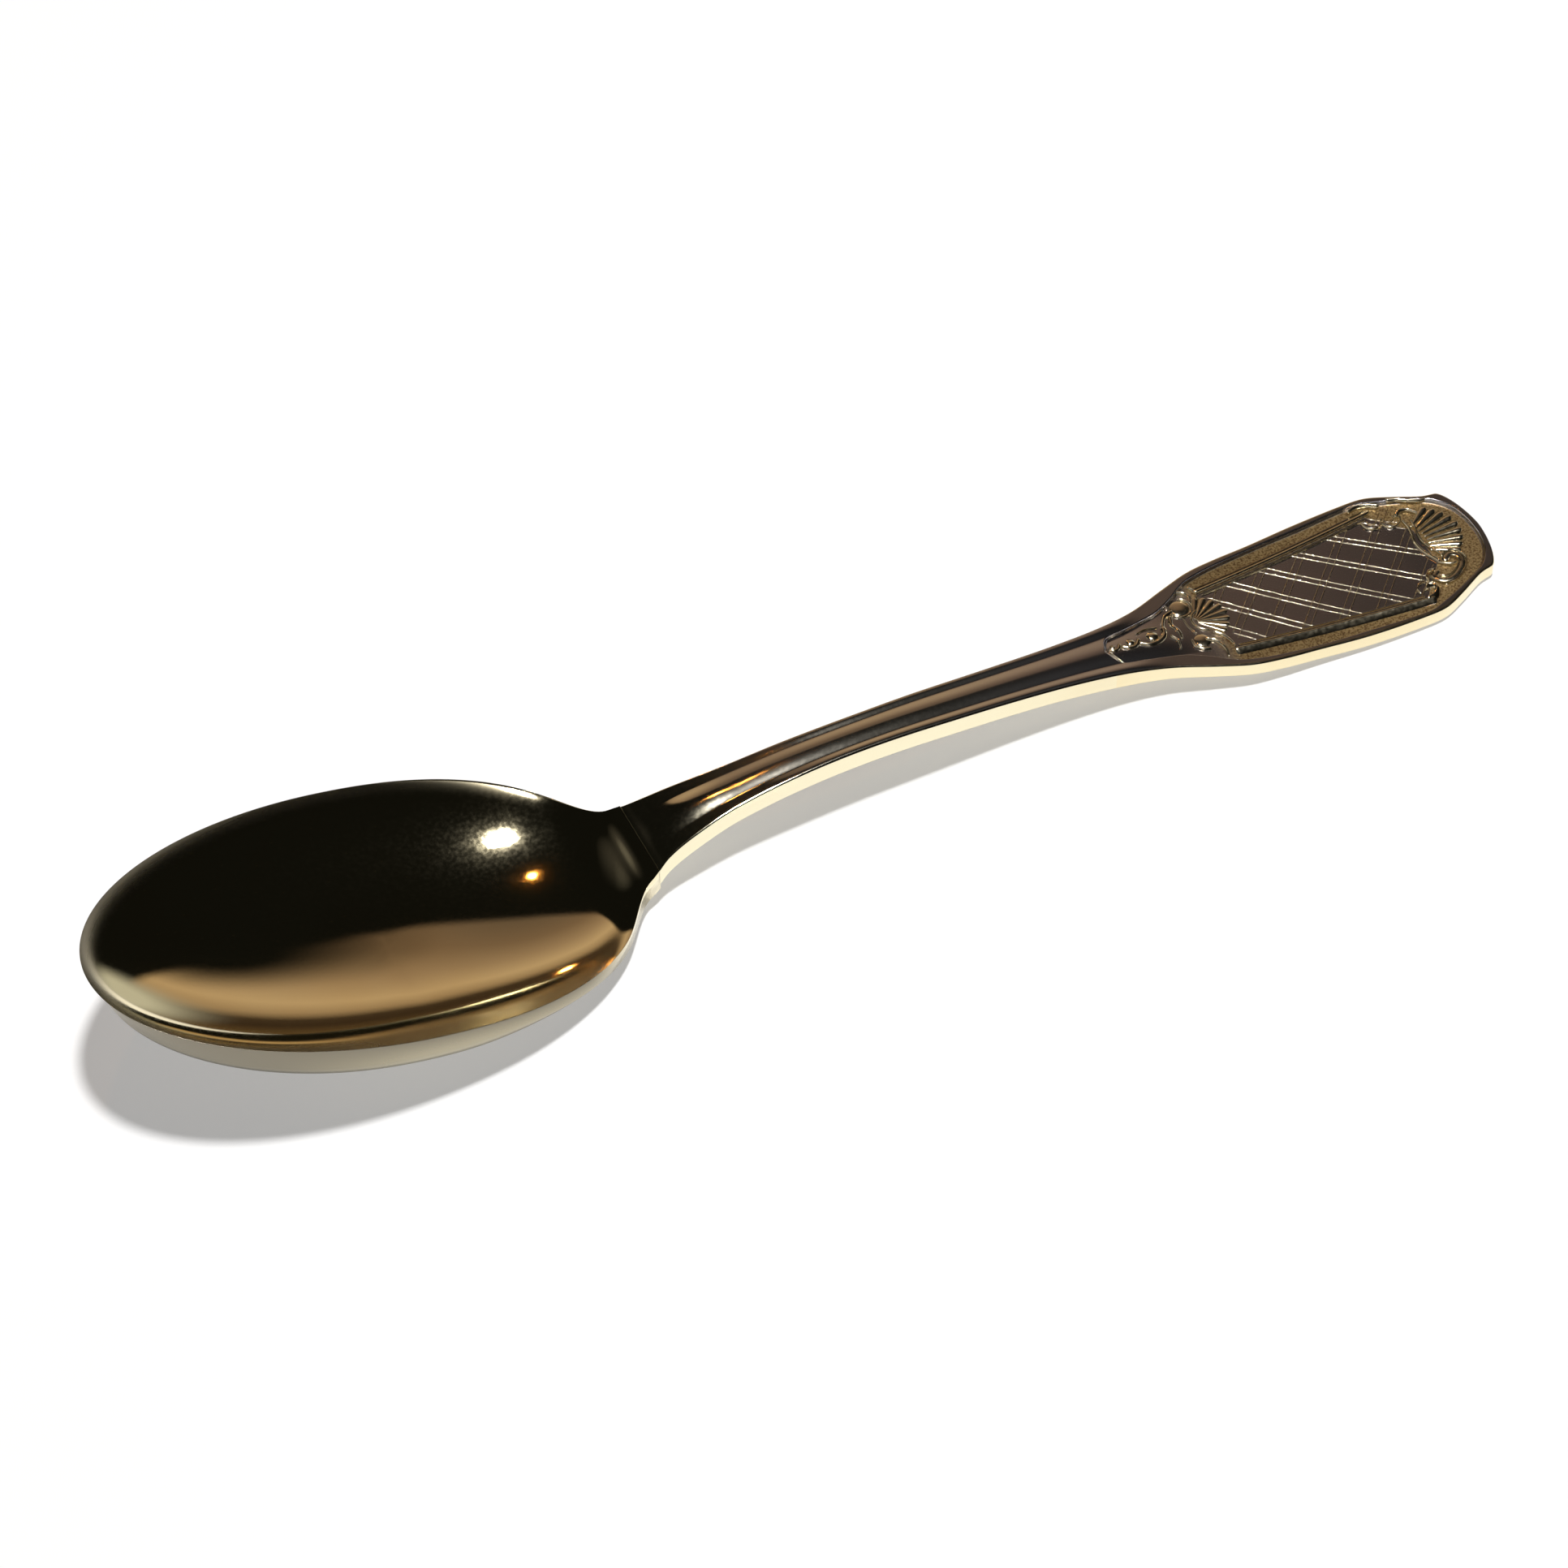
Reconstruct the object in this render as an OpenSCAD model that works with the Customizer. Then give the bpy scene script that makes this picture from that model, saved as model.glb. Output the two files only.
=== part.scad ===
// Teaspoon with an egg-shaped bowl, a narrow arched stem and a fiddle-shaped terminal.
// It lies bowl up, resting on the bowl's underside and on the end of the handle.
// X runs from the bowl's tip to the handle's end, Z is up, the middle of the footprint is the origin.

/* [Bowl] */
// Length of the bowl from its tip to the heel
bowl_length = 49.2; // [36:0.1:70]
// Width across the widest place of the bowl
bowl_width = 29.8; // [20:0.1:44]
// Height of the rim at the tip above the table
rim_tip_height = 14.7; // [8:0.1:22]
// Height of the rim at the heel above the table
rim_heel_height = 2.3; // [2:0.1:12]
// Depth of the bowl's outside below the plane of its rim
bowl_depth = 6.6; // [4:0.1:12]
// Thickness of the bowl's floor
bowl_wall = 1.2; // [0.8:0.1:2.5]
// Width of the rim seen from above
lip_width = 0.4; // [0.3:0.05:1.2]
// Height of the upright edge under the rim at the sides
rim_band = 1.4; // [0.6:0.1:2.5]
// Height of the upright edge under the rim at the tip
tip_band = 2; // [0.6:0.1:3]

/* [Handle] */
// Length of the handle from the bowl's heel to its end
handle_length = 88.8; // [60:0.1:130]
// Height of the handle's top edge where it is highest
handle_crest_height = 6.9; // [4:0.1:16]
// Thickness of the stem
stem_thickness = 2.4; // [1.5:0.1:4]
// Rise of the rounded middle of the stem above its edges
crown_rise = 0.36; // [0.2:0.02:1]

/* [Terminal] */
// Width across the widest place of the terminal
terminal_width = 15.7; // [12:0.1:24]
// Thickness of the terminal at its rim
terminal_thickness = 1.6; // [1.2:0.05:3]
// Depth of the sunken panel below the rim
panel_drop = 0.4; // [0.2:0.05:0.8]
// Width of the rim round the wide part of the panel
rim_width = 0.5; // [0.3:0.05:1]
// Width of the rim where the panel is narrow
neck_rim_width = 1.2; // [0.6:0.05:2]

/* [Ornament] */
// Width of the moulding on each side of the lattice field
moulding_width = 0.95; // [0.5:0.05:1.5]
// Rise of the moulding above the panel
moulding_rise = 0.45; // [0.2:0.05:0.8]
// Half width of the lattice field at its narrow end
field_base_half_width = 3.4; // [2:0.1:5]
// Half width of the lattice field at its wide end
field_end_half_width = 5.4; // [3:0.1:7]
// Distance between neighbouring double lines, along the handle
lattice_pitch = 4.04; // [2.5:0.05:6]
// Distance between the two lines of a double line
lattice_gap = 0.56; // [0.4:0.02:1]
// Width of one lattice line
lattice_line_width = 0.26; // [0.15:0.01:0.5]
// Rise of the lattice lines above the panel
lattice_rise = 0.18; // [0.1:0.01:0.4]
// Length of the shell at the end of the handle
end_shell_length = 3.7; // [2:0.1:5]
// Length of the shell at the narrow end of the field
base_shell_length = 3.5; // [2:0.1:5]
// Rise of the shells above the panel
shell_rise = 0.5; // [0.2:0.05:0.9]
// Rise of the scrolls above the panel
scroll_rise = 0.48; // [0.2:0.05:0.9]
// Width of a scroll's band at its thick end
scroll_band = 0.62; // [0.3:0.02:1]
// Length of the leaf drop that runs from the base scrolls to the tip of the panel
drop_length = 8; // [5:0.1:11]

/* [Hidden] */
$fn = 24;

gold = "#D8BE84";
dark_gold = "#B79A5E";

total_length = bowl_length + handle_length;
half_length = total_length/2;
belly_share = 0.54;
tip_power = 2.0;
heel_power = 2.3;
belly_x = bowl_length*belly_share;
heel_run = bowl_length - belly_x;
wall_rings = 10;
tip_steps = 13;
back_steps = 9;
neck_steps = 5;
cut_steps = 6;
// Section of the outside and of the hollow, each at the sides, the tip and the heel: power and exponent.
outside_shares = [[3, 0.45], [3, 0.4], [2, 1]];
hollow_shares = [[3, 0.8], [3, 0.7], [2.5, 2.2]];

// Places along the handle, as shares of its length, each with a share of the crest height.
top_shares = [[-0.06, 0.4], [0, 0.47], [0.035, 0.69], [0.07, 0.82], [0.12, 0.925], [0.2, 0.995],
              [0.3, 0.96], [0.4, 0.84], [0.5, 0.69], [0.6, 0.52], [0.7, 0.377], [0.8, 0.275],
              [0.9, 0.235], [0.95, 0.235], [1, 0.23]];
// Places along the handle, each with its half width as a share of the terminal's half width.
width_shares = [[-0.06, 0.3], [-0.03, 0.5], [0, 0.6], [0.035, 0.465], [0.07, 0.39], [0.12, 0.315],
                [0.2, 0.28], [0.27, 0.273], [0.35, 0.288], [0.43, 0.302], [0.5, 0.332], [0.56, 0.395],
                [0.605, 0.497], [0.65, 0.68], [0.685, 0.812], [0.72, 0.872], [0.76, 0.91],
                [0.82, 0.974], [0.885, 1], [0.91, 0.98], [0.935, 0.866], [0.965, 0.702], [0.98, 0.662]];
// Places along the handle, each with a share of the stem's thickness.
thick_shares = [[-0.06, 0.5], [0, 0.95], [0.1, 1.05], [0.3, 1], [0.5, 0.93], [1, 0.9]];

// A smooth curve through a table of places and values.
function slope_at(tab, i) =
    i <= 0 ? (tab[1][1] - tab[0][1])/(tab[1][0] - tab[0][0]) :
    i >= len(tab) - 1 ? (tab[i][1] - tab[i-1][1])/(tab[i][0] - tab[i-1][0]) :
    (tab[i+1][1] - tab[i-1][1])/(tab[i+1][0] - tab[i-1][0]);
function span_of(tab, t, i = 0) = i >= len(tab) - 2 || t < tab[i+1][0] ? i : span_of(tab, t, i + 1);
function smooth(tab, t) =
    let (i = span_of(tab, t), d = tab[i+1][0] - tab[i][0], u = (t - tab[i][0])/d)
    (2*pow(u, 3) - 3*u*u + 1)*tab[i][1] + (pow(u, 3) - 2*u*u + u)*d*slope_at(tab, i)
    + (3*u*u - 2*pow(u, 3))*tab[i+1][1] + (pow(u, 3) - u*u)*d*slope_at(tab, i + 1);
function ramp(a, b, x) = let (u = max(0, min(1, (x - a)/(b - a)))) u*u*(3 - 2*u);

function along(x) = (x - bowl_length)/handle_length;
function place(share) = bowl_length + handle_length*share;
function top_z(x) = handle_crest_height*smooth(top_shares, along(x));
function thickness(x) = let (u = ramp(place(0.5), place(0.7), x))
    (1 - u)*stem_thickness*smooth(thick_shares, along(x)) + u*terminal_thickness;
corner_share = 0.98;
corner_x = place(corner_share);
function half_width(x) = terminal_width/2*smooth(width_shares, min(corner_share, along(x)));

// A curve between two places with given values and slopes.
function bend(x, x0, x1, y0, y1, s0, s1) = let (d = x1 - x0, u = (x - x0)/d)
    (2*pow(u, 3) - 3*u*u + 1)*y0 + (pow(u, 3) - 2*u*u + u)*d*s0
    + (3*u*u - 2*pow(u, 3))*y1 + (pow(u, 3) - u*u)*d*s1;
nudge = total_length/10000;

// bowl and neck
join_x = place(0.02);
neck_x = place(0.009);
shoulder_x = belly_x + heel_run*0.872;
heel_bend_x = bowl_length*0.915;
stem_bend_x = place(0.026);
function rim_z(x) = rim_tip_height + (rim_heel_height - rim_tip_height)*x/bowl_length;
function oval_power(x) = x < belly_x ? tip_power : heel_power;
function oval_run(x) = x < belly_x ? belly_x : heel_run;
function oval_half(x) = let (n = oval_power(x))
    bowl_width/2*pow(max(0, 1 - pow(abs(x - belly_x)/oval_run(x), n)), 1/n);
shoulder_slope = (oval_half(shoulder_x) - oval_half(shoulder_x - nudge))/nudge;
neck_slope = (half_width(neck_x + nudge) - half_width(neck_x))/nudge;
rim_slope = (rim_heel_height - rim_tip_height)/bowl_length;
stem_slope = (top_z(stem_bend_x + nudge) - top_z(stem_bend_x))/nudge;
// Half width of the outline from the bowl into the stem.
function neck_half(x) = x <= shoulder_x ? oval_half(x) : x >= neck_x ? half_width(x) :
    bend(x, shoulder_x, neck_x, oval_half(shoulder_x), half_width(neck_x), shoulder_slope, neck_slope);
// Height of the edge: the rim's plane, then the turn up into the stem.
function edge_z(x) = x <= heel_bend_x ? rim_z(x) : x >= stem_bend_x ? top_z(x) :
    bend(x, heel_bend_x, stem_bend_x, rim_z(heel_bend_x), top_z(stem_bend_x), rim_slope, stem_slope);
outline_x = concat([for (k = [0:tip_steps]) belly_x*(1 - cos(90*k/tip_steps))],
                   [for (k = [1:back_steps]) belly_x + (shoulder_x - belly_x)*sin(90*k/back_steps)],
                   [for (k = [1:neck_steps]) shoulder_x + (join_x - shoulder_x)*k/neck_steps]);
join_half = neck_half(join_x);
bowl_outline = concat([for (x = outline_x) [x, neck_half(x)]],
                      [for (k = [1:cut_steps - 1]) [join_x, join_half*(1 - 2*k/cut_steps)]],
                      [for (k = [len(outline_x) - 1:-1:1]) [outline_x[k], -neck_half(outline_x[k])]]);
// Share of the depth at a place, from 1 in the middle to 0 at the oval rim.
function depth_share(x, y, lip, section) =
    let (dx = x - belly_x, n = oval_power(x), reach = max(nudge, norm([dx, y])),
         ring = pow(pow(abs(dx)/(oval_run(x) - lip), n) + pow(abs(y)/(bowl_width/2 - lip), n), 1/n),
         heel = pow(max(0, dx)/reach, 2), tip = pow(min(0, dx)/reach, 2),
         mix = section[0]*(1 - heel - tip) + section[1]*tip + section[2]*heel)
    pow(max(0, 1 - pow(ring, mix[0])), mix[1]);
function band_height(x, y) =
    let (dx = x - belly_x, tip = pow(min(0, dx)/max(nudge, norm([dx, y])), 2),
         b = rim_band + (tip_band - rim_band)*tip)
    b + (thickness(x) - b)*ramp(heel_bend_x, join_x, x);
function under_z(x, y) = let (b = band_height(x, y))
    edge_z(x) - b - (bowl_depth - b)*depth_share(x, y, 0, outside_shares);
function hollow_z(x, y) = edge_z(x) - (bowl_depth - bowl_wall)*depth_share(x, y, lip_width, hollow_shares);
// Points of a ring inside the outline.
function bowl_ring(r, inset) = [for (p = bowl_outline)
    let (e = norm([p[0] - belly_x, p[1]]), s = r*(e - inset)/e) [belly_x + (p[0] - belly_x)*s, p[1]*s]];
ring_shares = [for (k = [0:wall_rings]) 1 - pow(k/wall_rings, 1.6)*0.94];
outer_rings = [for (k = [wall_rings:-1:0])
    [for (p = bowl_ring(ring_shares[k], 0)) [p[0], p[1], under_z(p[0], p[1])]]];
rim_ring = [for (p = bowl_outline) [p[0], p[1], edge_z(p[0])]];
inner_rings = [for (k = [0:wall_rings])
    [for (p = bowl_ring(ring_shares[k], lip_width)) [p[0], p[1], hollow_z(p[0], p[1])]]];

// Faces of a closed skin over a list of equal rings.
module loft(rings) {
    m = len(rings[0]);
    pts = [for (r = rings) for (p = r) p];
    sides = [for (i = [0:len(rings) - 2]) for (j = [0:m - 1])
        let (a = i*m + j, b = i*m + (j + 1)%m, c = b + m, d = a + m)
        each [[a, b, c], [a, c, d]]];
    first = [for (j = [0:m - 1]) m - 1 - j];
    last = [for (j = [0:m - 1]) (len(rings) - 1)*m + j];
    polyhedron(points = pts, faces = concat(sides, [first], [last]), convexity = 8);
}

bowl_low = min([for (r = outer_rings) for (p = r) p[2]]);

module in_frame() {
    translate([-half_length, 0, -bowl_low]) children();
}

module bowl_shell() {
    loft(concat(outer_rings, [rim_ring], inner_rings));
}

// stem
drop_root = place(0.633);
terminal_start = drop_root - 0.975*drop_length;
stem_rings = 27;
// Places across the stem as shares of its half width, with heights as shares of its thickness.
section_shares = [[-0.78, -1], [-0.94, -0.94], [-1, -0.8], [-1, -0.09], [-0.95, 0], [-0.8, 0]];
crown_shares = [[-0.6, 0.3], [-0.4, 0.66], [-0.2, 0.91], [0, 1]];
function stem_ring(x) =
    let (w = neck_half(x), z = edge_z(x), t = thickness(x),
         c = crown_rise*ramp(join_x - nudge, place(0.1), x),
         left = concat([for (s = section_shares) [x, w*s[0], z + t*s[1]]],
                       [for (s = crown_shares) [x, w*s[0], z + c*s[1]]]),
         n = len(left))
    concat(left, [for (i = [n - 2:-1:0]) [left[i][0], -left[i][1], left[i][2]]]);
module stem_raw() {
    loft([for (k = [0:stem_rings]) stem_ring(join_x + (terminal_start - join_x)*pow(k/stem_rings, 1.3))]);
}

// terminal
outline_steps = 41;
end_steps = 10;
end_run = total_length - corner_x;
corner_half = half_width(corner_x);
function outline_side(inset_a, inset_b, from) = concat(
    [for (k = [0:outline_steps]) let (x = from + (corner_x - from)*k/outline_steps)
        [x, half_width(x) - inset_a + (inset_a - inset_b)*ramp(place(0.58), place(0.75), x)]],
    [for (k = [1:end_steps]) let (a = 90*k/end_steps)
        [corner_x + (end_run - inset_b)*sin(a), (corner_half - inset_b)*cos(a)]]);
function mirrored(side) = concat(side, [for (k = [len(side) - 2:-1:0]) [side[k][0], -side[k][1]]]);
panel_start = drop_root - 0.9*drop_length;
panel_tip_run = 1.6*neck_rim_width;
module outline_flat() {
    polygon(mirrored(outline_side(0, 0, terminal_start)));
}
module panel_flat() {
    intersection() {
        polygon(mirrored(outline_side(neck_rim_width, rim_width, panel_start)));
        polygon([[panel_start, 0], [panel_start + panel_tip_run, terminal_width/2],
                 [total_length, terminal_width], [total_length, -terminal_width],
                 [panel_start + panel_tip_run, -terminal_width/2]]);
    }
}
slab_steps = 10;
// A layer that follows the handle's top edge, between two offsets from it.
module layer(low, high, from, to, thick_low = false) {
    rotate([90, 0, 0]) linear_extrude(height = 2*terminal_width, center = true)
        polygon(concat(
            [for (k = [0:slab_steps]) let (x = from + (to - from)*k/slab_steps) [x, top_z(x) + high]],
            [for (k = [slab_steps:-1:0]) let (x = from + (to - from)*k/slab_steps)
                [x, top_z(x) + (thick_low ? -thickness(x) : low)]]));
}
plate_top = 4*handle_crest_height;
module plate_raw() {
    intersection() {
        linear_extrude(height = plate_top, center = true) outline_flat();
        layer(0, -panel_drop, terminal_start, total_length + end_run, true);
    }
    intersection() {
        linear_extrude(height = plate_top, center = true) difference() {
            outline_flat();
            panel_flat();
        }
        layer(-2*panel_drop, 0, terminal_start, total_length + end_run);
    }
    rim_thread();
}

// strokes of the relief
bead_sides = 6;
sink = panel_drop/3;
function floor_z(x) = top_z(x) - panel_drop;
module bead(p, r, rise, sides = bead_sides) {
    translate([p[0], p[1], floor_z(p[0]) - sink])
        cylinder(r1 = r*1.15, r2 = r*0.5, h = rise + sink, $fn = sides);
}
module stroke(pts, r0, r1, rise, sides = bead_sides) {
    n = len(pts) - 1;
    for (i = [0:n - 1]) hull() {
        bead(pts[i], r0 + (r1 - r0)*i/n, rise, sides);
        bead(pts[i+1], r0 + (r1 - r0)*(i + 1)/n, rise, sides);
    }
}
function spiral(c, r0, r1, a0, a1, n) = [for (k = [0:n])
    let (u = k/n, a = a0 + (a1 - a0)*u, r = r0*pow(r1/r0, u))
    [c[0] + r*cos(a), c[1] + r*sin(a)]];
function at(share, across_share) = [place(share), terminal_width/2*across_share];

thread_steps = 14;
module rim_thread() {
    side = [for (k = [0:thread_steps]) let (x = place(0.6) + (corner_x - place(0.6))*k/thread_steps)
        [x, half_width(x) - neck_rim_width
            + (neck_rim_width - rim_width)*ramp(place(0.58), place(0.75), x)]];
    for (s = [-1, 1]) for (i = [0:thread_steps - 1]) hull() for (p = [side[i], side[i+1]])
        translate([p[0], s*(p[1] + rim_width/4), top_z(p[0]) - panel_drop])
            cylinder(r1 = rim_width/3, r2 = rim_width/6, h = panel_drop*1.25, $fn = 6);
}

field_start = place(0.685);
field_end = place(0.905);
function field_half(x) = field_base_half_width
    + (field_end_half_width - field_base_half_width)*(x - field_start)/(field_end - field_start);
moulding_steps = 12;
module frame_raw() {
    step = (field_end - field_start)/moulding_steps;
    for (s = [-1, 1])
        stroke([for (k = [0:moulding_steps]) let (x = field_start + step*k)
            [x, s*(field_half(x) + moulding_width/2)]], moulding_width/2, moulding_width/2, moulding_rise);
}

lattice_slope = 0.92;
lattice_first = place(0.7185);
lattice_count = 5;
field_limit = place(0.93);
field_grow = (field_end_half_width - field_base_half_width)/(field_end - field_start);
module lattice_raw() {
    for (s = [-1, 1]) for (k = [-1:lattice_count]) for (side = [-1, 1]) {
        x0 = lattice_first + lattice_pitch*k + side*lattice_gap/2/sin(atan(lattice_slope));
        g = field_grow/lattice_slope;
        up = field_half(x0)/(1 - s*g);
        down = -field_half(x0)/(1 + s*g);
        y_start = s*lattice_slope*(field_start - x0);
        y_limit = s*lattice_slope*(field_limit - x0);
        y1 = min(up, max(y_start, y_limit));
        y0 = max(down, min(y_start, y_limit));
        if (y1 - y0 > lattice_pitch/4)
            stroke([for (u = [0:1]) let (y = y0 + (y1 - y0)*u) [x0 + s*y/lattice_slope, y]],
                   lattice_line_width/2, lattice_line_width/2, lattice_rise, 4);
    }
}

flutes = 7;
module fan(c, length, spread, tilt, width) {
    for (k = [0:flutes]) {
        a = tilt - spread/2 + spread*k/flutes;
        l = length*(0.8 + 0.2*cos(a - tilt));
        hull() {
            bead([c[0] + length*0.12*cos(a), c[1] + length*0.12*sin(a)], width*0.3, shell_rise);
            bead([c[0] + l*cos(a), c[1] + l*sin(a)], width, shell_rise*0.8);
        }
    }
}
module end_shell_raw() {
    fan(at(0.934, 0.096), end_shell_length, 118, 6, end_shell_length*0.12);
}
module base_shell_raw() {
    fan(at(0.661, 0.096), base_shell_length, 112, 4, base_shell_length*0.115);
}
module end_scrolls_raw() {
    b = scroll_band/2;
    stroke([at(0.927, 0.51), at(0.931, 0.395), at(0.931, 0.255), at(0.928, 0.115),
            at(0.93, -0.013), at(0.935, -0.14), at(0.938, -0.28)], b*0.5, b*0.7, scroll_rise);
    stroke([at(0.936, 0.459), at(0.938, 0.28), at(0.934, 0.102), at(0.938, -0.076),
            at(0.944, -0.204)], b*0.45, b*0.5, scroll_rise);
    stroke([at(0.883, 0.86), at(0.894, 0.892), at(0.905, 0.879), at(0.912, 0.79)],
           b*0.5, b*0.8, scroll_rise);
    stroke([at(0.915, 0.752), at(0.924, 0.809), at(0.935, 0.777), at(0.943, 0.688),
            at(0.956, 0.669), at(0.972, 0.624)], b*0.7, b*0.5, scroll_rise);
    stroke(spiral(at(0.901, 0.637), scroll_band*1.5, scroll_band*1.5, 165, 350, 6),
           b*0.7, b*0.8, scroll_rise);
    stroke(spiral(at(0.921, 0.567), scroll_band*1.5, scroll_band*1.5, 190, 385, 6),
           b*0.8, b*0.7, scroll_rise);
    stroke([at(0.928, 0.573), at(0.935, 0.631), at(0.944, 0.605), at(0.948, 0.51),
            at(0.945, 0.446)], b*1.1, b*0.7, scroll_rise);
    stroke(spiral(at(0.905, -0.631), scroll_band*1.15, scroll_band*0.75, 200, 560, 9),
           b*0.8, b*0.5, scroll_rise);
    stroke([at(0.91, -0.522), at(0.912, -0.42), at(0.919, -0.35), at(0.928, -0.363),
            at(0.935, -0.427), at(0.943, -0.427), at(0.947, -0.357)], b*0.6, b*0.8, scroll_rise);
    stroke([at(0.938, -0.344), at(0.941, -0.255), at(0.951, -0.223), at(0.959, -0.28),
            at(0.96, -0.395), at(0.953, -0.51), at(0.941, -0.605), at(0.929, -0.65),
            at(0.919, -0.624), at(0.915, -0.535), at(0.919, -0.459), at(0.926, -0.471)],
           b, b*0.7, scroll_rise);
}
module base_scrolls_raw() {
    b = scroll_band/2;
    bead(at(0.654, 0.35), scroll_band*1.3, scroll_rise*0.8, 10);
    stroke(spiral(at(0.654, 0.35), scroll_band*1.95, scroll_band*1.95, 150, 420, 8),
           b*0.5, b*0.8, scroll_rise);
    stroke([at(0.661, 0.599), at(0.669, 0.548), at(0.672, 0.459), at(0.669, 0.382)],
           b*0.8, b*0.6, scroll_rise);
    stroke([at(0.678, 0.599), at(0.682, 0.51), at(0.678, 0.408)], b*0.8, b*0.5, scroll_rise);
    bead(at(0.652, -0.236), scroll_band*1.1, scroll_rise*0.8, 10);
    stroke(spiral(at(0.652, -0.236), scroll_band*1.6, scroll_band*1.6, 60, 330, 7),
           b*0.5, b*0.7, scroll_rise);
    stroke([at(0.659, -0.191), at(0.667, -0.229), at(0.672, -0.331), at(0.673, -0.446),
            at(0.669, -0.561)], b*1.1, b*0.6, scroll_rise);
    stroke([at(0.673, -0.166), at(0.68, -0.217), at(0.684, -0.318), at(0.682, -0.42)],
           b*0.8, b*0.6, scroll_rise);
    stroke([at(0.64, -0.357), at(0.649, -0.414), at(0.66, -0.42)], b*0.5, b*0.6, scroll_rise);
    stroke([at(0.638, 0.255), at(0.635, 0.14), at(0.638, 0.025), at(0.636, -0.089)], b, b*0.6, scroll_rise);
}
// Places in the leaf drop, as shares of its length from the base scrolls towards the stem.
function drop(share, across_share) = [drop_root - drop_length*share, terminal_width/2*across_share];
module leaf_drop_raw() {
    b = scroll_band/2;
    stroke([drop(0.251, -0.038), drop(0.139, 0.038), drop(0.076, 0.178), drop(0.001, 0.28)],
           b*0.8, b*0.8, scroll_rise);
    stroke([drop(0.064, -0.025), drop(0.033, -0.115), drop(0.051, -0.217)], b*0.6, b*0.5, scroll_rise);
    stroke([drop(0.451, 0), drop(0.364, -0.051), drop(0.239, -0.045), drop(0.139, 0.019),
            drop(0.101, 0.115)], b*0.8, b*1.1, scroll_rise);
    bead(drop(0.276, 0.064), scroll_band*0.9, scroll_rise*0.8, 8);
    stroke([drop(0.426, 0.166), drop(0.301, 0.191), drop(0.176, 0.166)], b*0.4, b*0.6, scroll_rise);
    stroke([drop(0.676, 0.025), drop(0.614, -0.019), drop(0.526, -0.013),
            drop(0.464, 0.051)], b*0.7, b*0.9, scroll_rise);
    bead(drop(0.564, 0.064), scroll_band*0.65, scroll_rise*0.8, 8);
    stroke([drop(0.839, 0.045), drop(0.808, 0.006), drop(0.751, 0.013), drop(0.708, 0.064)],
           b*0.5, b*0.8, scroll_rise);
    bead(drop(0.789, 0.064), scroll_band*0.45, scroll_rise*0.8, 8);
    stroke([drop(0.839, -0.013), drop(0.801, -0.089), drop(0.751, -0.166)], b*0.5, b*0.5, scroll_rise);
}

module bowl() {
    color(gold) in_frame() bowl_shell();
}
module stem() {
    color(gold) in_frame() union() {
        stem_raw();
        stem_threads();
    }
}
stem_thread_steps = 14;
stem_thread_radius = stem_thickness*0.09;
module stem_threads() {
    from = place(0.05);
    to = terminal_start - 2*stem_thread_radius;
    for (s = [-1, 1]) for (i = [0:stem_thread_steps - 1]) hull() for (k = [i, i + 1])
        let (x = from + (to - from)*k/stem_thread_steps)
        translate([x, s*half_width(x)*0.9, top_z(x) - stem_thickness*0.1])
            cylinder(r1 = stem_thread_radius*1.2, r2 = stem_thread_radius*0.5,
                     h = stem_thickness*0.1 + stem_thread_radius, $fn = 6);
}
module terminal() {
    color(gold) in_frame() difference() {
        plate_raw();
        translate([terminal_start - total_length, -total_length/2, -total_length/2]) cube(total_length);
    }
}
module frame_moulding() {
    color(gold) in_frame() difference() {
        frame_raw();
        plate_raw();
    }
}
module end_shell() {
    color(gold) in_frame() difference() {
        end_shell_raw();
        plate_raw();
        frame_raw();
    }
}
module end_scrolls() {
    color(gold) in_frame() difference() {
        end_scrolls_raw();
        plate_raw();
        frame_raw();
        end_shell_raw();
    }
}
module base_shell() {
    color(gold) in_frame() difference() {
        base_shell_raw();
        plate_raw();
        frame_raw();
    }
}
module base_scrolls() {
    color(gold) in_frame() difference() {
        base_scrolls_raw();
        plate_raw();
        frame_raw();
        base_shell_raw();
    }
}
module leaf_drop() {
    color(gold) in_frame() difference() {
        leaf_drop_raw();
        plate_raw();
        base_scrolls_raw();
        base_shell_raw();
    }
}
module lattice() {
    color(dark_gold) in_frame() difference() {
        lattice_raw();
        plate_raw();
        frame_raw();
        end_shell_raw();
        end_scrolls_raw();
        base_shell_raw();
        base_scrolls_raw();
    }
}

bowl();
stem();
terminal();
frame_moulding();
lattice();
end_shell();
end_scrolls();
base_shell();
base_scrolls();
leaf_drop();
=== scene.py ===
"""Looks of the teaspoon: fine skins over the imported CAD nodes, gold finish, floor, light and camera."""
import math

import bpy
import numpy as np
from mathutils import Matrix, Vector

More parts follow.
